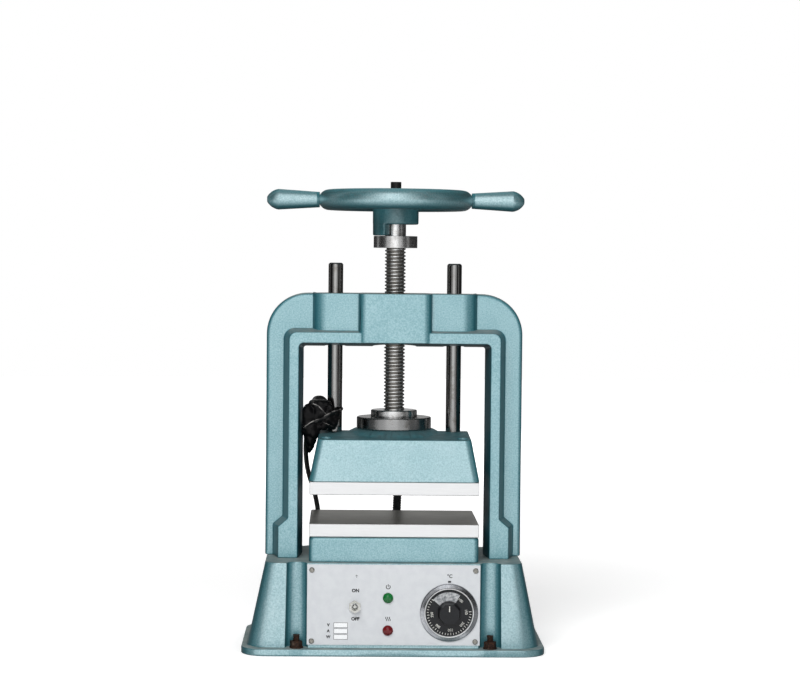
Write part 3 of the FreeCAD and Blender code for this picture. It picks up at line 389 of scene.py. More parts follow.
# %% The crushed sleeve
SLEEVE_LUMPS = [((-103, -25, 283), (10.5, 11, 14)), ((-90, -24, 284), (13, 13, 14.5)),
                ((-80, -24, 280), (11, 12.5, 14)), ((-74.5, -23, 276), (7.5, 11, 11.5)),
                ((-72, -24, 284.5), (6, 9, 4)), ((-102, -24, 268), (11.5, 11.5, 14)),
                ((-98, -26, 262), (8, 9, 9)), ((-102, -22, 254), (7.6, 9, 10)),
                ((-102, -19, 245), (5.2, 6, 7)), ((-102.6, -18, 239), (2.4, 3.4, 4))]   # middle, half sizes
TURN_LUMP = (4.6, 4.6, 4.6)
SLEEVE_FACET = 12.0 * MM
SLEEVE_DENT = 3.4 * MM
SLEEVE_ROOM = ((-111.6, -38.8, 235.0), (-64.0, -9.8, 300.6))


def mesh_of(bm, name):
    """Turn a bmesh into a mesh and let go of it."""
    mesh = bpy.data.meshes.new(name)
    bm.to_mesh(mesh)
    bm.free()
    return mesh


def add_lump(bm, middle, sizes):
    made = bmesh.ops.create_icosphere(bm, subdivisions=3, radius=1.0)
    place = Matrix.Translation(Vector(middle) * MM) @ Matrix.Diagonal((*(size * MM for size in sizes), 1))
    bmesh.ops.transform(bm, verts=made["verts"], matrix=place)


def voxel_skin(mesh, voxel_mm, rounds):
    """Melt all the forms in a mesh into one skin with softened corners."""
    piece = new_object("blank", mesh)
    remesh = piece.modifiers.new("skin", "REMESH")
    remesh.mode = "VOXEL"
    remesh.voxel_size = voxel_mm * MM
    remesh.use_smooth_shade = True
    piece.modifiers.new("soften", "SMOOTH").iterations = rounds
    return plain_mesh(piece)


def crushed(point):
    """How far a point of the film is pushed out: least in the middle of a facet."""
    near, _ = noise.voronoi(point / SLEEVE_FACET)
    return (near[0] - 0.45) * SLEEVE_DENT


def make_sleeve():
    bm = bmesh.new()
    for middle, sizes in SLEEVE_LUMPS:
        add_lump(bm, middle, sizes)
    for point in coil_points():
        add_lump(bm, point / MM, TURN_LUMP)
    skin = voxel_skin(mesh_of(bm, "lumps"), 0.9, 3)
    low, high = (Vector(corner) * MM for corner in SLEEVE_ROOM)
    for vertex in skin.vertices:
        moved = vertex.co + vertex.normal * crushed(vertex.co)
        vertex.co = [min(max(moved[axis], low[axis]), high[axis]) for axis in range(3)]
    shade(skin, 50)
    return new_object("crushed_sleeve", skin)


sleeve_film = Finish("sleeve_film", Specular_IOR_Level=0.16)
sleeve_dust = sleeve_film.speckle(5.0, 3.0)
sleeve_film.look(sleeve_film.mixed(sleeve_dust.step(0.5, 0.8), (6, 6, 7), (26, 25, 25)),
                 0.20 + 0.25 * sleeve_dust)
sleeve_film.bump(sleeve_film.speckle(1.6, 3.0), 0.15)
sleeve = make_sleeve()
dressed(sleeve, sleeve_film, "ram", "black_plastic")

# %% [markdown]
# Three folds stand out of the film, and their upper faces are painted pale in patches, a painted highlight
# along the folds. One runs across the whole bundle and ends round the guide rod: it holds the turns
# together. Each is a ridge swept along a short line. The line is laid on the film by looking for it from
# the front, with a ray.

# %% Folds
FOLDS = [([(-110, -30, 266), (-104, -38, 271), (-96, -38, 275), (-88, -38, 278), (-80, -38, 282.5),
           (-73, -36, 286), (-66.5, -26, 288), (-63.4, -12, 288.6), (-62.6, -2, 288.8), (-64, 6, 289)], 2.3),
         ([(-99, -34, 296), (-95.5, -36, 294.8), (-91, -37, 291.6), (-86, -38, 286.5), (-83, -38, 284)], 1.6),
         ([(-86, -38, 273.5), (-82, -38, 271.5), (-78, -38, 269.8), (-74.5, -37, 268.4)], 1.3)]
RIDGE = [(0.0, 1.0), (0.6, 0.42), (0.45, -0.5), (0.0, -1.0), (-0.4, 0.0)]   # out of the film, up


def surface_of(mesh):
    """The faces of a mesh, ready for rays and for looking up the nearest point."""
    return BVHTree.FromPolygons([vertex.co for vertex in mesh.vertices],
                                [polygon.vertices for polygon in mesh.polygons])


def join_rows(bm, rows, closed=True):
    """Lay faces between rows of points, each row a ring or, when not closed, an open line."""
    count = len(rows[0])
    for a, b in zip(rows, rows[1:]):
        for i in range(count if closed else count - 1):
            j = (i + 1) % count
            bm.faces.new((a[i], a[j], b[j], b[i]))


def laid_on(skin, points):
    """Move points in front of the skin until they lie on it."""
    for point in points:
        hit, _, _, _ = skin.ray_cast(Vector((point.x, -0.10, point.z)), Vector((0, 1, 0)))
        if hit and hit.y < point.y + 0.012 and point.y < -0.022:
            yield Vector((point.x, hit.y - 0.2 * MM, point.z))
        else:
            yield point


def ridge_along(bm, points, size):
    rows = []
    last = len(points) - 1
    for k, point in enumerate(points):
        ahead = (points[min(k + 1, last)] - points[max(k - 1, 0)]).normalized()
        out = Vector((ahead.y, -ahead.x, 0)).normalized()
        up = ahead.cross(out)
        if up.z < 0:
            up = -up
        swell = size * MM * (0.25 + 0.75 * math.sin(math.pi * min(max(k / last, 0.04), 0.96)) ** 0.4)
        rows.append([bm.verts.new(point + out * (a * swell) + up * (b * swell)) for a, b in RIDGE])
    join_rows(bm, rows)
    bm.faces.new(rows[0])
    bm.faces.new(rows[-1])


def finish_piece(name, bm, smooth, finish, body, slot, *stands_for):
    """A dressed piece from a bmesh, shaded smooth up to an angle in degrees, or flat with None."""
    mesh = mesh_of(bm, name)
    if smooth:
        shade(mesh, smooth)
    dressed(new_object(name, mesh), finish, body, slot, *stands_for)


fold_film = Finish("fold_film", Specular_IOR_Level=0.4)
# Painted highlight: pale patches on the upper faces of the folds.
fold_highlight = fold_film.facing()[2].step(0.35, 0.75) * fold_film.speckle(11.0, 3.0).step(0.36, 0.62)
fold_film.look(fold_film.mixed(fold_highlight, (8, 8, 9), (142, 140, 138)), 0.30 + 0.2 * fold_highlight)
skin = surface_of(sleeve.data)
fold_bm = bmesh.new()
for corners, size in FOLDS:
    line = line_object("fold", metres(corners))
    ridge_along(fold_bm, list(laid_on(skin, read_path(line))), size)
    bpy.data.objects.remove(line)
bmesh.ops.recalc_face_normals(fold_bm, faces=fold_bm.faces)
finish_piece("sleeve_folds", fold_bm, 40, fold_film, "ram", "black_plastic")

# %% [markdown]
# What repeats by a rule is grown by Geometry Nodes. A tree is built in code once, with a named input
# for each size, run on an object and read back as a plain mesh.

# %% Geometry trees
def geometry_tree(name, sizes, takes_geometry=True):
    """A geometry tree with a named number input for each size, and the wires of its inputs."""
    group = bpy.data.node_groups.new(name, "GeometryNodeTree")
    group.interface.new_socket("Geometry", in_out="OUTPUT", socket_type="NodeSocketGeometry")
    if takes_geometry:
        group.interface.new_socket("Geometry", in_out="INPUT", socket_type="NodeSocketGeometry")
    for label in sizes:
        group.interface.new_socket(label, in_out="INPUT", socket_type="NodeSocketFloat")
    tree = Tree(group)
    inlet = tree.node("NodeGroupInput")
    return tree, {output.name: Wire(tree, output) for output in inlet.outputs if output.name}


def close_tree(tree, geometry, finish):
    """End a tree: real geometry, not instances, with its material."""
    solid = tree.value("GeometryNodeRealizeInstances", {0: geometry})
    painted = tree.value("GeometryNodeSetMaterial", {0: solid, "Material": finish.material})
    tree.node("NodeGroupOutput", {0: painted})


def grown(source, tree, sizes):
    """Run a geometry tree on an object and return the result as a plain mesh."""
    modifier = source.modifiers.new("tree", "NODES")
    modifier.node_group = tree.tree
    for item in tree.tree.interface.items_tree:
        if item.in_out == "INPUT" and item.name in sizes:
            modifier[item.identifier] = sizes[item.name]
    return plain_mesh(source)


# %% [markdown]
# The conduit is a corrugated tube. Its ribs repeat along a path: the line is resampled to a few points
# a rib, and the size of the round profile rises and falls as a sine of the length so far. The mesh has
# as many ribs as the length holds, whatever the route.

# %% The conduit
def ribbed_hose_tree(finish):
    tree, wires = geometry_tree("ribbed_hose", ["Radius", "Rib depth", "Rib pitch"])
    spaced = tree.value("GeometryNodeResampleCurve", {0: wires["Geometry"], "Length": wires["Rib pitch"] / 6},
                        mode="LENGTH")
    along = tree.value("GeometryNodeSplineParameter", output="Length")
    wave = tree.maths("SINE", along * (2 * math.pi) / wires["Rib pitch"])
    size = wires["Radius"] - wires["Rib depth"] * (0.5 - 0.5 * wave)
    ring = tree.value("GeometryNodeCurvePrimitiveCircle", {"Resolution": 20, "Radius": 1.0})
    hose = tree.value("GeometryNodeCurveToMesh",
                      {"Curve": spaced, "Profile Curve": ring, "Scale": size, "Fill Caps": True})
    close_tree(tree, tree.value("GeometryNodeSetShadeSmooth", {0: hose}), finish)
    return tree


conduit_line = line_object("conduit_line", CONDUIT)
conduit_path = read_path(conduit_line)
rib_sizes = {"Radius": CONDUIT_D / 2, "Rib depth": 0.9 * MM, "Rib pitch": 3.2 * MM}
conduit = new_object("head_hose", grown(conduit_line, ribbed_hose_tree(conduit_black), rib_sizes))
dressed(conduit, conduit_black, None, "cord", "head_conduit")
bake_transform(conduit)
print("conduit:", round(path_length(conduit_path), 3), "m")

# %% [markdown]
# ## Painted iron
# The castings wear a hammer paint: a deep teal lacquer with aluminium flakes in it. The lacquer scatters
# light evenly, while the flakes lie nearly flat and throw it back towards a lamp. Here that light and shade
# are painted: a mask makes faces that look towards the lamps pale and rich in flakes, and faces turned
# away deep teal. That takes two shaders, one for the lacquer and one for the flakes, mixed by the mask.
# While the paint dries the flakes gather into blots of two or three millimetres, each a shallow dimple:
# the mask carries those blots, and the bump does too.
#
# Faces count as towards the lamps when they look to the front or the back, and on the wheel when they
# look up. Painted shade also darkens the base's flutes and flange, the wheel's hub and its handles' necks.

# %% Where light and shade are painted
stud_low, stud_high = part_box("hold_down_studs")
STUD_R = (stud_high.y - stud_low.y) / 2
STUD_X = (stud_high.x - stud_low.x) / 2 - STUD_R


def from_front_and_back(finish):
    # Painted light: faces that look to the front or the back count as lit, faces turned aside as shaded.
    return abs(finish.facing()[1]).step(0.52, 0.97)


def from_front_on_base(finish):
    """Painted light from the front and back, with painted shade in the studs' flutes and on the flange."""
    x, _, z = finish.axes()
    in_flute = 1.0 - abs(abs(x) - STUD_X).step(0.007, 0.010)
    above_flange = z.step(0.013, 0.019)
    return from_front_and_back(finish) * (1.0 - 0.35 * in_flute) * (0.86 + 0.14 * above_flange)


def from_above(finish):
    """Painted light on the rim and handles; painted shade below, on the hub and round the handles' necks."""
    radius = finish.radius()
    past_hub = 0.18 + 0.82 * radius.step(0.034, 0.060)
    beside_rim = radius.step(0.0915, 0.0925) * (1.0 - radius.step(0.0962, 0.0974))
    neck = (1.0 - abs(finish.axes()[1]).step(0.009, 0.011)) * beside_rim
    return finish.facing()[2].step(-0.8, 0.1) * past_hub * (1.0 - neck)


# %% [markdown]
# Over the paint come two more marks. Faces that look up take grey dust on the frame and base, and a darker
# teal on the head and wheel, which is painted shade. What runs close round the screw is painted black, a
# painted shade in the bores and behind the wheel's dog.

# %% Hammer paint
def make_hammer_paint(name, deep, pale, top_dust_and_shade_colour, flakes, painted_light):
    finish = Finish(name, Specular_IOR_Level=0.35)
    # Painted light and shade: the lit share turns the lacquer from deep to pale and brings in the flakes.
    lit_share = 0.06 + 0.94 * painted_light(finish)
    blots = finish.speckle(1.7, 2.0, 0.55)
    drift = finish.speckle(30.0, 2.0)
    dents = finish.cells(2.4, "SMOOTH_F1")
    glint = (blots * 0.8 + drift * 0.2).step(0.28, 0.72)
    lacquer = finish.mixed(lit_share * (0.70 + 0.30 * glint), deep, pale)
    # Faces that look up: grey dust on the frame and base, painted shade on the head and wheel.
    up = finish.facing()[2].step(0.55, 0.95)
    top_dust_and_shade = up * (0.35 + 0.65 * finish.speckle(14.0, 4.0, 0.6).step(0.25, 0.75))
    with_top_dust_and_shade = finish.mixed(top_dust_and_shade, lacquer, top_dust_and_shade_colour)
    # Painted shade: black close round the screw, in the bores and behind the wheel's dog.
    bore_shade = 1.0 - finish.radius().step(0.0148, 0.0166)
    finish.look(finish.mixed(bore_shade, with_top_dust_and_shade, (9, 9, 9)), 0.32 + 0.10 * blots + 0.30 * top_dust_and_shade)
    flake = finish.node("ShaderNodeBsdfPrincipled",
                        {"Base Color": srgb(205, 226, 230), "Metallic": 1.0, "Roughness": 0.34})
    share = flakes * lit_share * (0.70 + 0.60 * glint) * (1.0 - 0.8 * top_dust_and_shade)
    finish.show("ShaderNodeMixShader", share, finish.shader.outputs[0], flake.outputs[0])
    finish.bump(blots * 0.6 + dents * 0.4, 0.3, 0.55, (flake,))
    return finish


# The third colour goes on faces that look up: grey dust on frame and base, painted shade on head and wheel.
frame_paint = make_hammer_paint("frame_paint", (26, 78, 88), (70, 137, 148), (130, 140, 138),
                                0.44, from_front_and_back)
base_paint = make_hammer_paint("base_paint", (28, 78, 86), (84, 146, 157), (142, 152, 150),
                               0.66, from_front_on_base)
head_paint = make_hammer_paint("head_paint", (38, 92, 100), (84, 146, 157), (64, 88, 92),
                               0.58, from_front_and_back)
wheel_paint = make_hammer_paint("wheel_paint", (25, 78, 86), (70, 138, 147), (66, 122, 130),
                                0.72, from_above)
print("paints ready")

# %% [markdown]
# The CAD castings have the right forms but knife-sharp edges. Sand casting rounds every edge, and
# paint rounds it further. In a merged copy of the node, edges that turn by more than 30 degrees are
# gathered into chains. Long chains get a bevel, screw holes stay crisp. Where one round runs out in
# another, a bevel can throw a point far off, so such points are put back on the part. Weighted normals
# keep the flats looking flat.

# %% Rounded copies
SHARP = math.radians(30)
FARTHEST = 0.8             # of the bevel's width, that a point may lie off the part


def merged(node):
    """A welded copy of a CAD node, with its flat faces made whole."""
    bm = bmesh.new()
    bm.from_mesh(nodes[node].data)
    bmesh.ops.remove_doubles(bm, verts=bm.verts, dist=2e-6)
    bmesh.ops.dissolve_limit(bm, angle_limit=math.radians(0.3), verts=bm.verts, edges=bm.edges)
    return bm


def sharp_chains(bm):
    """Connected runs of sharp edges."""
    left = {edge for edge in bm.edges if len(edge.link_faces) == 2 and edge.calc_face_angle(0.0) > SHARP}
    while left:
        chain = {left.pop()}
        front = list(chain)
        while front:
            touching = {near for vert in front.pop().verts for near in vert.link_edges} & left
            left -= touching
            chain |= touching
            front.extend(touching)
        yield chain


def span(chain):
    points = [vert.co for edge in chain for vert in edge.verts]
    return max(max(point[axis] for point in points) - min(point[axis] for point in points)
               for axis in range(3))


def rounded(name, node, width_mm, segments, finish, body, slot, smallest_mm=14.0):
    """A copy of a CAD node with its long sharp edges rounded off."""
    bm = merged(node)
    weight = bm.edges.layers.float.new("bevel_weight_edge")
    for chain in sharp_chains(bm):
        if span(chain) > smallest_mm * MM:
            for edge in chain:
                edge[weight] = 1.0
    blank = new_object("blank", mesh_of(bm, name))
    bevel = blank.modifiers.new("edges", "BEVEL")
    bevel.limit_method = "WEIGHT"
    bevel.width = width_mm * MM
    bevel.segments = segments
    bevel.use_clamp_overlap = False
    bevel.miter_outer = "MITER_ARC"
    mesh = plain_mesh(blank)
    part = surface_of(nodes[node].data)
    for vertex in mesh.vertices:
        near, _, _, distance = part.find_nearest(vertex.co)
        if distance > FARTHEST * width_mm * MM:
            vertex.co = near
    shade(mesh)
    piece = new_object(name, mesh)
    piece.modifiers.new("flats", "WEIGHTED_NORMAL").keep_sharp = True
    dressed(piece, finish, body, slot, node)


rounded("painted_base", "base_casting", 1.3, 3, base_paint, "base", "enamel")
rounded("painted_frame", "press_frame", 1.3, 3, frame_paint, "base", "enamel")
rounded("painted_lower_head", "lower_head", 1.0, 2, frame_paint, "base", "enamel")
rounded("painted_upper_head", "upper_head", 1.4, 3, head_paint, "ram", "enamel")

# %% [markdown]
# ## The handwheel
# The wheel is one casting: rim, four oval spokes, a hub and the dog that strikes the drive bar. Where
# a spoke runs into the rim the pattern maker leaves a fillet. A voxel remesh melts the forms into one
# skin, and smoothing turns each inner corner into such a fillet. Only the dog has to keep its size, so
# that it meets the drive bar and no more: there the skin is held just inside the CAD faces.

# %% Handwheel
DOG_SPARE = 0.15 * MM


def make_wheel():
    bm = merged("handwheel")
    bmesh.ops.triangulate(bm, faces=bm.faces)
    skin = voxel_skin(mesh_of(bm, "wheel"), 1.25, 6)
    part = surface_of(nodes["handwheel"].data)
    dog_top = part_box("drive_bar")[1].z + 1.0 * MM
    for vertex in skin.vertices:
        if vertex.co.z < dog_top:
            near, normal, _, _ = part.find_nearest(vertex.co)
            if (vertex.co - near).dot(normal) > -DOG_SPARE:
                vertex.co = near - normal * DOG_SPARE
    return new_object("cast_handwheel", skin)


dressed(make_wheel(), wheel_paint, "wheel", "cast_paint", "handwheel")

# %% [markdown]
# ## Steel
# Turned faces carry fine rings round the axis, so their noise is stretched round it. Ground rods carry
# fine lines along them and oily stains. Both are fully metallic: their colour is what they reflect, so
# most of the look comes from roughness.

# %% Steel finishes
GROOVE = 0.5 * MM


def make_turned_steel(name, tone, gloss):
    finish = Finish(name)
    level = {"W": finish.radius() + finish.axes()[2], "Scale": 1 / GROOVE, "Detail": 3.0}
    rings = finish.value("ShaderNodeTexNoise", level, noise_dimensions="1D")
    stain = finish.speckle(11.0, 4.0, 0.6).step(0.5, 0.8)
    bright = finish.mixed(rings * 0.5 + finish.speckle(0.8, 2.0) * 0.3,
                          (tone - 26, tone - 25, tone - 24), (tone + 18, tone + 18, tone + 17))
    colour = finish.mixed(stain * 0.55, bright, (112, 100, 86))
    finish.look(colour, gloss + 0.12 * rings + 0.12 * stain, 1.0)
    finish.bump(rings, 0.03)
    return finish


def make_ground_steel(name, tone, gloss):
    finish = Finish(name)
    lines = finish.speckle(1.1, 3.0, 0.6, finish.stretched(1, 1, 0.03))
    stain = finish.speckle(16.0, 4.0, 0.65).step(0.45, 0.75)
    worn = finish.mixed(lines, (tone - 18, tone - 18, tone - 18), (tone + 12, tone + 12, tone + 10))
    finish.look(finish.mixed(stain * 0.6, worn, (98, 88, 74)), gloss + 0.06 * lines + 0.08 * stain, 1.0)
    return finish


turned_steel = make_turned_steel("turned_steel", 172, 0.18)
bright_steel = make_turned_steel("bright_steel", 237, 0.18)
ground_steel = make_ground_steel("ground_steel", 162, 0.08)

# %% [markdown]
# ## The screw thread
# The press screw has a trapezoidal thread, six turns to the inch. Going once round lifts it by one
# pitch, and across each pitch the radius goes from root to crest and back. So a flat grid is wrapped by
# a formula: its length runs round the helix, its width across one pitch, and neighbouring turns are
# welded where they meet. The same tree makes the studs' threads.

# %% Thread
CREST_SHARE = 0.66         # of half a pitch, to the foot of the flank
FLANK_SHARE = 0.32


def thread_tree(finish, turns, segments):
    """A grid wrapped into a thread. Inputs: crest and root radius, pitch, lowest and highest level."""
    labels = ["Crest radius", "Root radius", "Pitch", "Low", "High"]
    tree, wires = geometry_tree("wrapped_thread", labels, takes_geometry=False)
    grid = tree.value("GeometryNodeMeshGrid",
                      {"Size X": 1.0, "Size Y": 1.0, "Vertices X": turns * segments + 1, "Vertices Y": 9})
    where = tree.node("ShaderNodeSeparateXYZ", {0: tree.value("GeometryNodeInputPosition")})
    along = (Wire(tree, where.outputs[0]) + 0.5) * turns
    across = Wire(tree, where.outputs[1]) + 0.5
    from_crest = abs(across - 0.5) * 2
    height = ((CREST_SHARE - from_crest) / FLANK_SHARE).clamped()
    radius = wires["Root radius"] + (wires["Crest radius"] - wires["Root radius"]) * height
    level = (wires["Low"] + wires["Pitch"] * (along + across - 1)).clamped(wires["Low"], wires["High"])
    angle = along * (2 * math.pi)
    wrapped = tree.value("ShaderNodeCombineXYZ", {0: radius * tree.maths("COSINE", angle),
                                                  1: radius * tree.maths("SINE", angle), 2: level})
    moved = tree.value("GeometryNodeSetPosition", {0: grid, "Position": wrapped})
    close_tree(tree, tree.value("GeometryNodeMergeByDistance", {0: moved, "Distance": 2e-5}), finish)
    return tree


# %% [markdown]
# A thread ends short of its rod's ends. The CAD node gives the rest: it is cut at two levels, each cut
# is closed by a flat face, and the thread's skin goes between the two parts.

# %% Threads and ends
def threaded(crest, root, pitch, low, high, segments):
    """A thread's skin about the Z axis, from low to high, as a mesh."""
    turns = math.ceil((high - low) / pitch) + 1
    sizes = {"Crest radius": crest, "Root radius": root, "Pitch": pitch, "Low": low, "High": high}
    blank = new_object("blank", bpy.data.meshes.new("blank"))
    return grown(blank, thread_tree(turned_steel, turns, segments), sizes)


def add_mesh(bm, mesh, matrix=Matrix()):
    mesh.transform(matrix)
    bm.from_mesh(mesh)
    bpy.data.meshes.remove(mesh)


def with_ends(node, low, high):
    """The parts of a node below low and above high, each closed by a flat face."""
    bm = bmesh.new()
    for level, is_low in ((low, True), (high, False)):
        part = merged(node)
        cut = bmesh.ops.bisect_plane(part, geom=part.verts[:] + part.edges[:] + part.faces[:],
                                     plane_co=(0, 0, level), plane_no=(0, 0, 1),
                                     clear_outer=is_low, clear_inner=not is_low)
        edges = [item for item in cut["geom_cut"] if isinstance(item, bmesh.types.BMEdge)]
        bmesh.ops.edgeloop_fill(part, edges=edges)
        add_mesh(bm, mesh_of(part, "cut"))
    return bm


# %% [markdown]
# The screw is darker in its grooves, and its crests are rubbed bright by the nut. The radius of a
# point tells the two apart, so the mask is the distance from the screw's axis.

# %% Main screw
SCREW_R = 12.7 * MM
THREAD_ROOT_R = 10.75 * MM
SCREW_PITCH = 25.4 / 6 * MM
THREAD_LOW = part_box("retaining_cap")[1].z - 0.5 * MM
THREAD_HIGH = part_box("drive_bar")[0].z - 0.2 * MM


def make_thread_steel():
    finish = Finish("thread_steel")
    crest = finish.radius().step(THREAD_ROOT_R + 0.3 * MM, SCREW_R - 0.2 * MM)
    smear = finish.speckle(7.0, 3.0).step(0.35, 0.75)
    bright = finish.mixed(smear, (242, 243, 244), (216, 214, 210))
    finish.look(finish.mixed(crest, (150, 147, 142), bright), 0.42 - 0.18 * crest + 0.08 * smear, 1.0)
    return finish


screw_bm = with_ends("main_screw", THREAD_LOW, THREAD_HIGH)
add_mesh(screw_bm, threaded(SCREW_R, THREAD_ROOT_R, SCREW_PITCH, THREAD_LOW, THREAD_HIGH, 48))
finish_piece("threaded_screw", screw_bm, 28, make_thread_steel(), "screw", "steel", "main_screw")

# %% [markdown]
# The collar, the flange, the cap and the rods were turned and ground, their edges only broken with a
# file. They are rounded like the castings, by much less.

# %% Turned and ground pieces
rounded("turned_drive_collar", "drive_bar", 0.5, 2, bright_steel, "screw", "steel", 10.0)
rounded("turned_flange", "bearing_flange", 0.5, 2, turned_steel, "ram", "steel", 60.0)
rounded("turned_cap", "retaining_cap", 0.4, 2, bright_steel, "ram", "steel", 40.0)
rounded("ground_rods", "guide_rods", 1.3, 4, ground_steel, "ram", "steel", 8.0)

# %% [markdown]
# ## Platens
# The platens are ground plates. Their working faces are dark with burnt rubber and smoke, scratched
# along the grinding, while the milled edges stay pale and clean. Which is which follows from the way
# a face looks: up and down are working faces, the rest are edges.

# %% Platen metal
def make_platen_metal():
    finish = Finish("platen_metal")
    level = abs(finish.facing()[2]).step(0.6, 0.9)
    scratches = finish.speckle(1.0, 4.0, 0.7, finish.stretched(0.02, 1, 1))
    soot = finish.speckle(46.0, 4.0, 0.6).step(0.2, 0.8)
    milled = finish.speckle(1.6, 3.0, 0.6, finish.stretched(0.06, 1, 1))
    edge = finish.mixed(milled, (212, 213, 214), (224, 225, 226))
    face = finish.mixed(soot * 0.6 + scratches * 0.4, (122, 121, 115), (176, 175, 167))
    finish.look(finish.mixed(level, edge, face), 0.42 - 0.12 * level + 0.12 * scratches, 0.35 + 0.5 * level)
    finish.bump(scratches, 0.02, 0.4)
    return finish


platen_metal = make_platen_metal()
rounded("ground_lower_platen", "lower_platen", 0.25, 2, platen_metal, "base", "platen_metal")
rounded("ground_upper_platen", "upper_platen", 0.25, 2, platen_metal, "ram", "platen_metal")

# %% [markdown]
# ## Small metal, plastic and glass
# Most of what is left is two tones with a grain: bronze, oxide, plating, plastic. Rust and the cut
# glass of the lamps need a recipe of their own.

# %% Other finishes
def make_plain(name, light, dark, grain_mm, metallic, gloss, rough_change=0.15, depth_mm=0.02, specular=0.5):
    """A two-tone finish: grain in the colour, roughness and height."""
    finish = Finish(name, Specular_IOR_Level=specular)
    grain = finish.speckle(grain_mm, 4.0, 0.6)
    colour = finish.mixed(grain.step(0.3, 0.7), dark, light)
    finish.look(colour, gloss + rough_change * grain, metallic)
    finish.bump(grain, depth_mm)
    return finish


def make_rust():
    finish = Finish("rusty_steel")
    scale = finish.speckle(2.2, 5.0, 0.65)
    bare = finish.speckle(5.0, 3.0).step(0.58, 0.7)
    rust = finish.mixed(scale.step(0.35, 0.65), (13, 10, 9), (58, 34, 21))
    finish.look(finish.mixed(bare, rust, (80, 70, 62)), 0.72 - 0.3 * bare, 0.15 + 0.7 * bare)
    finish.bump(scale, 0.25, 0.8)
    return finish


def make_lens(name, deep, bright):
    """Cut glass with a faint glow."""
    finish = Finish(name, Transmission_Weight=0.25, IOR=1.49, Emission_Strength=0.08)
    cut = finish.cells(1.5)
    colour = finish.mixed(cut, bright, deep)
    finish.look(colour, 0.12)
    finish.feed(finish.shader.inputs["Emission Color"], colour)
    finish.bump(cut, 0.15, 0.4)
    return finish


# %% [markdown]
# A node whose CAD shape is already right needs no piece of its own: its material slots take the finish.

# %% Finishes of the CAD nodes
NODE_FINISHES = [
    (turned_steel, "thrust_lower_race thrust_upper_race thrust_balls top_washer"),
    (wheel_paint, "wheel_handles"),
    (make_plain("bronze", (178, 140, 84), (138, 104, 60), 3.0, 1.0, 0.34),
     "screw_nut guide_bushes bearing_washer"),
    (make_plain("black_oxide", (46, 45, 44), (24, 24, 24), 1.5, 0.6, 0.38),
     "top_screw flange_screws upper_head_bolts lower_head_bolts frame_bolts cover_screws"),
    (make_plain("insulation_board", (214, 208, 190), (188, 180, 160), 1.2, 0.0, 0.85, 0.1, 0.1),
     "upper_insulation lower_insulation"),
    (make_plain("heater_steel", (140, 132, 122), (96, 90, 86), 6.0, 0.9, 0.4), "upper_heater lower_heater"),
    (make_plain("panel_metal", (199, 202, 205), (193, 196, 200), 9.0, 0.25, 0.42, 0.06), "control_panel"),
    (make_plain("cover_zinc", (168, 172, 172), (142, 147, 149), 8.0, 0.9, 0.4), "bottom_cover"),
    (make_plain("plated", (224, 225, 222), (196, 196, 190), 2.0, 1.0, 0.14, 0.14),
     "toggle_lever toggle_nut toggle_body"),
    (make_plain("worn_nickel", (176, 174, 168), (128, 126, 120), 1.4, 1.0, 0.30, 0.14), "panel_screws"),
    (make_plain("dial_black", (22, 24, 28), (13, 14, 17), 1.0, 0.0, 0.30, 0.1, specular=0.36), "dial_knob"),
    (make_plain("black_plastic", (34, 37, 42), (22, 25, 29), 1.0, 0.0, 0.30, 0.1),
     "lamp_bodies thermostat_body head_gland conduit_head_gland lead_inlet_gland conduit_inlet_gland "
     "mains_inlet_gland"),
    (make_lens("green_lens", (4, 78, 30), (24, 128, 60)), "green_lens"),
    (make_lens("red_lens", (78, 6, 12), (126, 20, 28)), "red_lens"),
    (rusty_steel := make_rust(), "hold_down_nuts hold_down_washers"),
]
for finish, names in NODE_FINISHES:
    for name in names.split():
        for slot_of in nodes[name].material_slots:
            slot_of.material = finish.material
print("finished nodes:", sum(len(names.split()) for _, names in NODE_FINISHES))

# %% [markdown]
# The hold-down studs are threaded above their nuts. The same tree wraps their thread, finer and in two
# places; the plain shank below it and the last turn's flat end are cut from the CAD node.

# %% Studs
STUD_PITCH = 1.25 * MM
STUD_ROOT_R = STUD_R - 0.75 * MM
STUD_THREAD_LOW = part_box("hold_down_nuts")[1].z - 0.5 * MM
STUD_THREAD_HIGH = stud_high.z - 0.8 * MM

stud_bm = with_ends("hold_down_studs", STUD_THREAD_LOW, STUD_THREAD_HIGH)
for stud_x in (stud_low.x + STUD_R, stud_high.x - STUD_R):
    stud_skin = threaded(STUD_R, STUD_ROOT_R, STUD_PITCH, STUD_THREAD_LOW, STUD_THREAD_HIGH, 24)
    add_mesh(stud_bm, stud_skin, Matrix.Translation((stud_x, (stud_low.y + stud_high.y) / 2, 0)))
finish_piece("threaded_studs", stud_bm, 28, rusty_steel, "base", "rusty_steel", "hold_down_studs")

# %% [markdown]
# ## The printed panel
# The panel is screen printed: ON and OFF at the switch, a power sign by the green lamp, three heat
# waves by the red one, a mark that the dial is read against and three rating boxes with their units.
# Ink is a film, so each sign is a flat shape that stands a tenth of a millimetre off the metal.

# %% Inks
INK_T = 0.12 * MM
PANEL_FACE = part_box("control_panel")[0].y
TO_PANEL = Matrix(((1, 0, 0, 0), (0, 0, -1, 0), (0, 1, 0, 0), (0, 0, 0, 1)))
ink = make_plain("black_ink", (16, 16, 18), (10, 10, 12), 1.0, 0.0, 0.5)
white_ink = make_plain("white_ink", (226, 226, 220), (196, 196, 190), 1.2, 0.0, 0.5)
field_ink = make_plain("field_ink", (232, 234, 235), (222, 224, 226), 2.0, 0.0, 0.5)
# Painted reflection: this silver stands in for light from above mirrored on the dial.
silver_ink = make_plain("silver_ink", (184, 186, 188), (104, 108, 112), 3.0, 0.4, 0.34)
print("inks ready")

# %% [markdown]
# Three kinds of sign are enough: text turned into a mesh, bars, and strokes of even width through
# points. They are made flat, in the XY plane, and a matrix stands them upright on the panel.

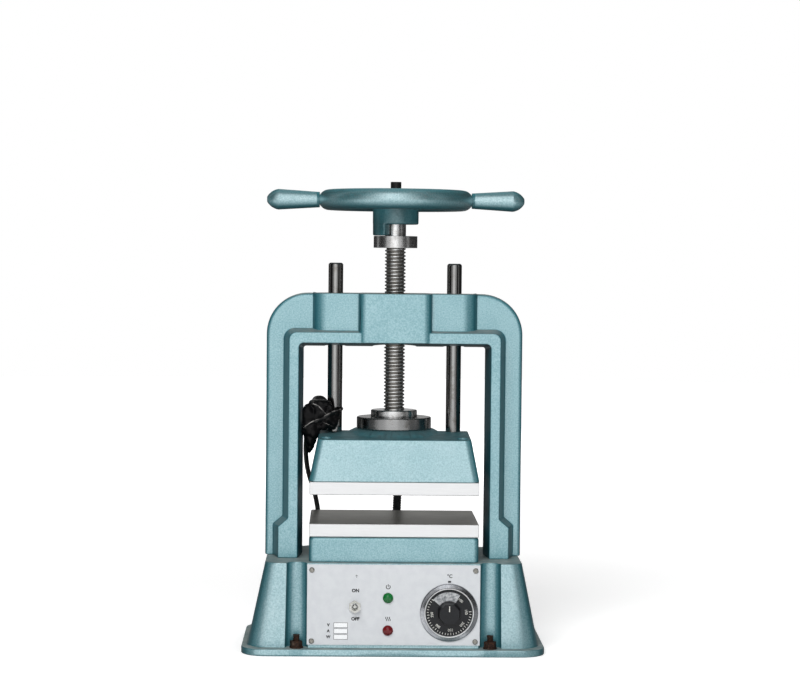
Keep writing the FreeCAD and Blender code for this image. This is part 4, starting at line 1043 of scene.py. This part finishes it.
# %% Text, bars and strokes
CAPITAL_SHARE = 0.72       # of a font's size


def text_mesh(words, height_mm, weight=0.0):
    """Words as a thin solid in the XY plane, centred on the origin. The weight thickens the strokes."""
    curve = bpy.data.curves.new("words", "FONT")
    curve.body = words
    curve.size = height_mm * MM / CAPITAL_SHARE
    curve.extrude = INK_T / 2
    curve.offset = weight * MM
    curve.align_x = "CENTER"
    curve.align_y = "CENTER"
    curve.resolution_u = 3
    return plain_mesh(new_object("words", curve))


def on_panel(x, z):
    """Where a flat sign goes: its middle at x, z on the panel, in millimetres."""
    return Matrix.Translation((x * MM, PANEL_FACE - INK_T / 2, z * MM)) @ TO_PANEL


def bar(bm, x, z, width, height):
    """A printed bar, all in millimetres."""
    made = bmesh.ops.create_cube(bm, size=1.0)
    place = on_panel(x, z) @ Matrix.Diagonal((width * MM, height * MM, INK_T, 1))
    bmesh.ops.transform(bm, verts=made["verts"], matrix=place)


def stroke(bm, points, width, matrix):
    """A printed line of even width through points in millimetres, as a thin solid."""
    rows = []
    for k, point in enumerate(points):
        ahead = Vector(points[min(k + 1, len(points) - 1)]) - Vector(points[max(k - 1, 0)])
        side = Vector((-ahead.y, ahead.x)).normalized() * width / 2
        corners = [(*((Vector(point) + sign * side) * MM), lift * INK_T)
                   for sign, lift in ((1, -0.5), (1, 0.5), (-1, 0.5), (-1, -0.5))]
        rows.append([bm.verts.new(matrix @ Vector(corner)) for corner in corners])
    join_rows(bm, rows)
    bm.faces.new(rows[0])
    bm.faces.new(rows[-1])


def arc(radius, start, end, count=24):
    """Points of an arc, its angles in degrees from +X."""
    angles = [math.radians(start + (end - start) * k / count) for k in range(count + 1)]
    return [(radius * math.cos(angle), radius * math.sin(angle)) for angle in angles]


def finish_print(name, bm, finish, body, slot):
    bmesh.ops.recalc_face_normals(bm, faces=bm.faces)
    finish_piece(name, bm, None, finish, body, slot)


# %% [markdown]
# The signs stand where the switch, the lamps and the dial need them, so their places are written as on
# a drawing: millimetres from the middle of the press and up from the floor.

# %% Panel print
SWITCH_X = -45.4
LAMPS_X = -6.6
DIAL_MARK_X = 66.4
BOX_X = -62.8
BOX = (16.8, 5.9)
BOX_LINE = 0.45
RATING_Z = {"V": 36.1, "A": 29.0, "W": 21.9}


def print_panel():
    bm = bmesh.new()
    add_mesh(bm, text_mesh("ON", 4.0, 0.26), on_panel(SWITCH_X, 77.4))
    add_mesh(bm, text_mesh("OFF", 4.0, 0.26), on_panel(SWITCH_X, 43.6))
    for letter, z in RATING_Z.items():
        add_mesh(bm, text_mesh(letter, 3.3, 0.24), on_panel(-77.5, z))
        for sign in (-1, 1):
            bar(bm, BOX_X, z + sign * 2.8, BOX[0], BOX_LINE)
            bar(bm, BOX_X + sign * 8.2, z, BOX_LINE, BOX[1])
    stroke(bm, arc(2.4, 130, 410), 0.9, on_panel(LAMPS_X, 82.2))
    bar(bm, LAMPS_X, 83.8, 0.9, 3.2)
    for k in (-1, 0, 1):
        wave = [(0.55 * math.sin(step * math.pi / 6) + 2.2 * k, step * 0.42 - 2.5) for step in range(13)]
        stroke(bm, wave, 0.9, on_panel(LAMPS_X, 43.8))
    bar(bm, DIAL_MARK_X, 88.7, 3.6, 2.2)
    add_mesh(bm, text_mesh("°C", 4.2, 0.16), on_panel(66.6, 95.2))
    bar(bm, -44.3, 94.6, 0.4, 3.4)
    stroke(bm, [(-1.3, -1.0), (0, 0.9), (1.3, -1.0)], 0.4, on_panel(-44.3, 95.6))
    finish_print("panel_print", bm, ink, "base", "black_plastic")


def print_fields():
    """The pale fields inside the three rating boxes."""
    bm = bmesh.new()
    for z in RATING_Z.values():
        bar(bm, BOX_X, z, BOX[0] - 0.6, BOX[1] - 0.5)
    finish_print("panel_fields", bm, field_ink, "base", "panel_metal")


print_panel()
print_fields()

# %% [markdown]
# ## The dial
# Figures and ticks are printed on the disc and turn with it. They stand round a circle, so each is
# made once at the top and turned about the dial's middle. The grip carries a plain pointer line.

# %% Dial print
DIAL_MIDDLE = (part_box("dial_knob")[0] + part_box("dial_knob")[1]) / 2
DISC_FACE = PANEL_FACE - 3.2 * MM
GRIP_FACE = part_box("dial_knob")[0].y
FIGURES = [100, 150, 200, 250, 300, 350]
FIRST_FIGURE = 41.5        # degrees clockwise from the top
FIGURE_STEP = 44.5
FIGURE_R = 20.3
TICKS_EACH = 6
TICKS_R = 26.6


def on_dial(clockwise, radius_mm, face=DISC_FACE):
    """A place on the dial, turned so that its top looks outwards."""
    middle = Matrix.Translation((DIAL_MIDDLE.x, face - INK_T / 2, DIAL_MIDDLE.z)) @ TO_PANEL
    turned = middle @ Matrix.Rotation(-math.radians(clockwise), 4, "Z")
    return turned @ Matrix.Translation((0, radius_mm * MM, 0))


def print_dial():
    bm = bmesh.new()
    for k, figure in enumerate(FIGURES):
        add_mesh(bm, text_mesh(str(figure), 3.1), on_dial(FIRST_FIGURE + k * FIGURE_STEP, FIGURE_R))
    for k in range(TICKS_EACH, TICKS_EACH * len(FIGURES) + 1):
        half = 1.5 if k % TICKS_EACH == 0 else 1.1
        clockwise = FIRST_FIGURE + k * FIGURE_STEP / TICKS_EACH
        stroke(bm, [(0, -half), (0, half)], 0.55, on_dial(clockwise, TICKS_R - half))
    stroke(bm, [(0, -3.4), (0, 3.4)], 1.1, on_dial(0.0, 6.6, GRIP_FACE))
    finish_print("dial_print", bm, white_ink, "dial", "black_plastic")


def print_off_sector():
    """A painted reflection of light from above: a silver field round the dial's off position."""
    bm = bmesh.new()
    stroke(bm, arc(19.6, 58, 141), 10.6, on_dial(0.0, 0.0))
    finish_print("dial_off_sector", bm, silver_ink, "dial", "black_plastic")


print_dial()
print_off_sector()

# %% [markdown]
# Round the dial stands a pressed ring. Its bright inner lip is the highest part, and its face slopes
# out to the panel. Such a ring is a profile turned about an axis, so a lathe in code makes it: the same
# few points are repeated at each step of the turn and joined to the ones before.

# %% Dial ring
RING_INNER = (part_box("dial_knob")[1].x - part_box("dial_knob")[0].x) / 2 / MM + 0.4
RING_OUTER = (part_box("dial_bezel")[1].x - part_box("dial_bezel")[0].x) / 2 / MM
RING_LIP = [(0, 0.05), (0, 4.2), (0.25, 4.75), (0.7, 4.95), (1.15, 4.75), (1.5, 4.2), (1.9, 3.9)]
RING_RIM = [(-1.4, 2.5), (-0.5, 2.0), (-0.1, 1.5), (0, 0.9), (0, 0.05)]   # distances from a radius, heights
RING_STEPS = 128


def make_ring_metal(lip_radius):
    """Bare plated steel, with a painted highlight in satin white along its lip."""
    finish = Finish("ring_metal")
    x, _, z = finish.axes()
    radius = ((x - DIAL_MIDDLE.x) ** 2 + (z - DIAL_MIDDLE.z) ** 2) ** 0.5
    # Painted highlight: the lip is near white.
    painted_lip_highlight = 1.0 - radius.step(lip_radius - 0.2 * MM, lip_radius)
    grain = finish.speckle(3.0, 4.0, 0.6)
    ring = finish.mixed(grain.step(0.3, 0.7), (172, 175, 181), (196, 198, 202))
    colour = finish.mixed(painted_lip_highlight, ring, (240, 241, 242))
    finish.look(colour, 0.18 + 0.10 * grain + 0.25 * painted_lip_highlight, 1.0 - 0.5 * painted_lip_highlight)
    return finish


def lathe(profile, middle):
    """A ring about the Y axis. The profile holds radii and heights, in millimetres, round its section."""
    bm = bmesh.new()
    rows = []
    for k in range(RING_STEPS):
        angle = 2 * math.pi * k / RING_STEPS
        rows.append([bm.verts.new(middle + Vector((r * math.cos(angle), -h, r * math.sin(angle))) * MM)
                     for r, h in profile])
    join_rows(bm, rows + rows[:1])
    bmesh.ops.recalc_face_normals(bm, faces=bm.faces)
    return bm


ring_profile = [(RING_INNER + r, h) for r, h in RING_LIP] + [(RING_OUTER + r, h) for r, h in RING_RIM]
ring_bm = lathe(ring_profile, Vector((DIAL_MIDDLE.x, PANEL_FACE, DIAL_MIDDLE.z)))
finish_piece("pressed_dial_ring", ring_bm, 40, make_ring_metal((RING_INNER + 1.2) * MM),
             "base", "plated", "dial_bezel")

# %% [markdown]
# ## The stage
# The world is white to the camera and to mirror-like rays, so that metal shows a white background too,
# and dimmer to the rays that light matt surfaces. The pale floor glows a little to the camera, enough
# to join the background, and still takes the object's shadow.

# %% World and floor
AMBIENT = 0.22
WHITE = (1, 1, 1, 1)


def make_world():
    world = bpy.data.worlds.new("studio")
    world.use_nodes = True
    scene.world = world
    tree = Tree(world.node_tree)
    path = tree.node("ShaderNodeLightPath")
    seen = Wire(tree, path.outputs["Is Camera Ray"])
    for kind in ("Is Glossy Ray", "Is Transmission Ray"):
        seen = tree.maths("MAXIMUM", seen, Wire(tree, path.outputs[kind]))
    for key, value in (("Color", WHITE), ("Strength", AMBIENT + seen * (1.0 - AMBIENT))):
        tree.feed(world.node_tree.nodes["Background"].inputs[key], value)


def disc(name, radius, level):
    bm = bmesh.new()
    bmesh.ops.create_circle(bm, cap_ends=True, segments=64, radius=radius)
    bmesh.ops.translate(bm, verts=bm.verts, vec=(0, 0, level))
    return new_object(name, mesh_of(bm, name))


def make_floor():
    finish = Finish("floor_white", Specular_IOR_Level=0.1)
    seen = finish.value("ShaderNodeLightPath", output="Is Camera Ray")
    finish.look(finish.mixed(seen, (0.36, 0.36, 0.36, 1), (0.82, 0.82, 0.82, 1)), 0.9)
    far = finish.radius().step(0.4, 2.6)
    glow = finish.node("ShaderNodeEmission", {0: WHITE, 1: seen * (0.42 + 0.5 * far)})
    finish.show("ShaderNodeAddShader", finish.shader.outputs[0], glow.outputs[0])
    floor = disc("floor", 6.0, 0.0)
    floor.data.materials.append(finish.material)


make_world()
make_floor()

# %% [markdown]
# Steel and flakes show what stands round them, so the studio needs walls: a bright screen in front,
# softer ones beside it, narrow strips at the sides and dark flags between them. They draw the bands on
# the rods and rings, and are seen in reflections alone.

# %% Screens and flags
WALL_R = 3.6
WALL_LOW, WALL_TOP = 0.02, 7.5
CARD_LEVEL = 0.002
FULL = [(WALL_R, WALL_LOW), (WALL_R, WALL_TOP)]
# from and to in degrees, from the front towards +X; radius and level of both edges; brightness
SCREENS = [
    ("flag_back_left", -172, -112, FULL, 0.03), ("strip_left", -112, -100, FULL, 0.35),
    ("flag_left", -100, -50, FULL, 0.02), ("screen_left", -50, -26, FULL, 0.45),
    ("screen_front", -26, 12, FULL, 1.25), ("screen_right", 12, 34, FULL, 0.50),
    ("flag_right", 34, 62, FULL, 0.04), ("strip_right", 62, 74, FULL, 0.30),
    ("flag_back_right", 74, 172, FULL, 0.03), ("flag_back", 172, 188, [(WALL_R, 0.0), (WALL_R, 0.32)], 0.04),
    ("screen_back", 172, 188, [(WALL_R, 0.32), (WALL_R, WALL_TOP)], 0.45),
    ("card_front", -60, 45, [(0.108, CARD_LEVEL), (3.5, CARD_LEVEL)], 0.95),
    ("card_back", 140, 220, [(0.25, CARD_LEVEL), (2.2, CARD_LEVEL)], 0.10)]
CEILING = 0.22


def for_mirrors(piece, brightness):
    """Make a screen of even brightness that only reflections show."""
    finish = Finish(piece.name, Specular_IOR_Level=0.0, Emission_Strength=brightness, Emission_Color=WHITE)
    finish.look((0, 0, 0, 1), 1.0)
    piece.data.materials.append(finish.material)
    piece.visible_camera = piece.visible_diffuse = piece.visible_shadow = False


def screen(name, from_deg, to_deg, edges, brightness):
    """A strip bent round the object: a wall, or a card on the floor."""
    bm = bmesh.new()
    steps = max(2, round((to_deg - from_deg) / 6))
    rows = []
    for k in range(steps + 1):
        angle = math.radians(from_deg + (to_deg - from_deg) * k / steps)
        rows.append([bm.verts.new((r * math.sin(angle), -r * math.cos(angle), z)) for r, z in edges])
    join_rows(bm, rows, closed=False)
    for_mirrors(new_object(name, mesh_of(bm, name)), brightness)


for spec in SCREENS:
    screen(*spec)
for_mirrors(disc("ceiling", WALL_R, WALL_TOP), CEILING)
print("screens:", len(SCREENS) + 1)

# %% [markdown]
# The lamps do the rest: a big soft one at the upper left beside the camera, a weaker one on its right
# and one behind. They light matt surfaces and stay out of the reflections, so that nothing burns out.

# %% Lamps
LOOK_AT = Vector((0, 0, 0.28))


def soft_lamp(name, at, width, height, power):
    data = bpy.data.lights.new(name, "AREA")
    data.shape = "RECTANGLE"
    data.size, data.size_y = width, height
    data.energy = power
    lamp = new_object(name, data)
    way = (LOOK_AT - Vector(at)).to_track_quat("-Z", "Y")
    lamp.matrix_world = Matrix.Translation(at) @ way.to_matrix().to_4x4()
    lamp.visible_glossy = False


soft_lamp("key_lamp", (-0.60, -2.45, 1.95), 1.4, 1.4, 80)
soft_lamp("fill_lamp", (0.65, -2.90, 0.50), 1.4, 1.0, 30)
soft_lamp("back_lamp", (0.9, 2.9, 1.3), 1.6, 1.6, 34)

# %% [markdown]
# Last, colours are shown as they are.

# %% Colours as they are
scene.view_settings.view_transform = "Standard"
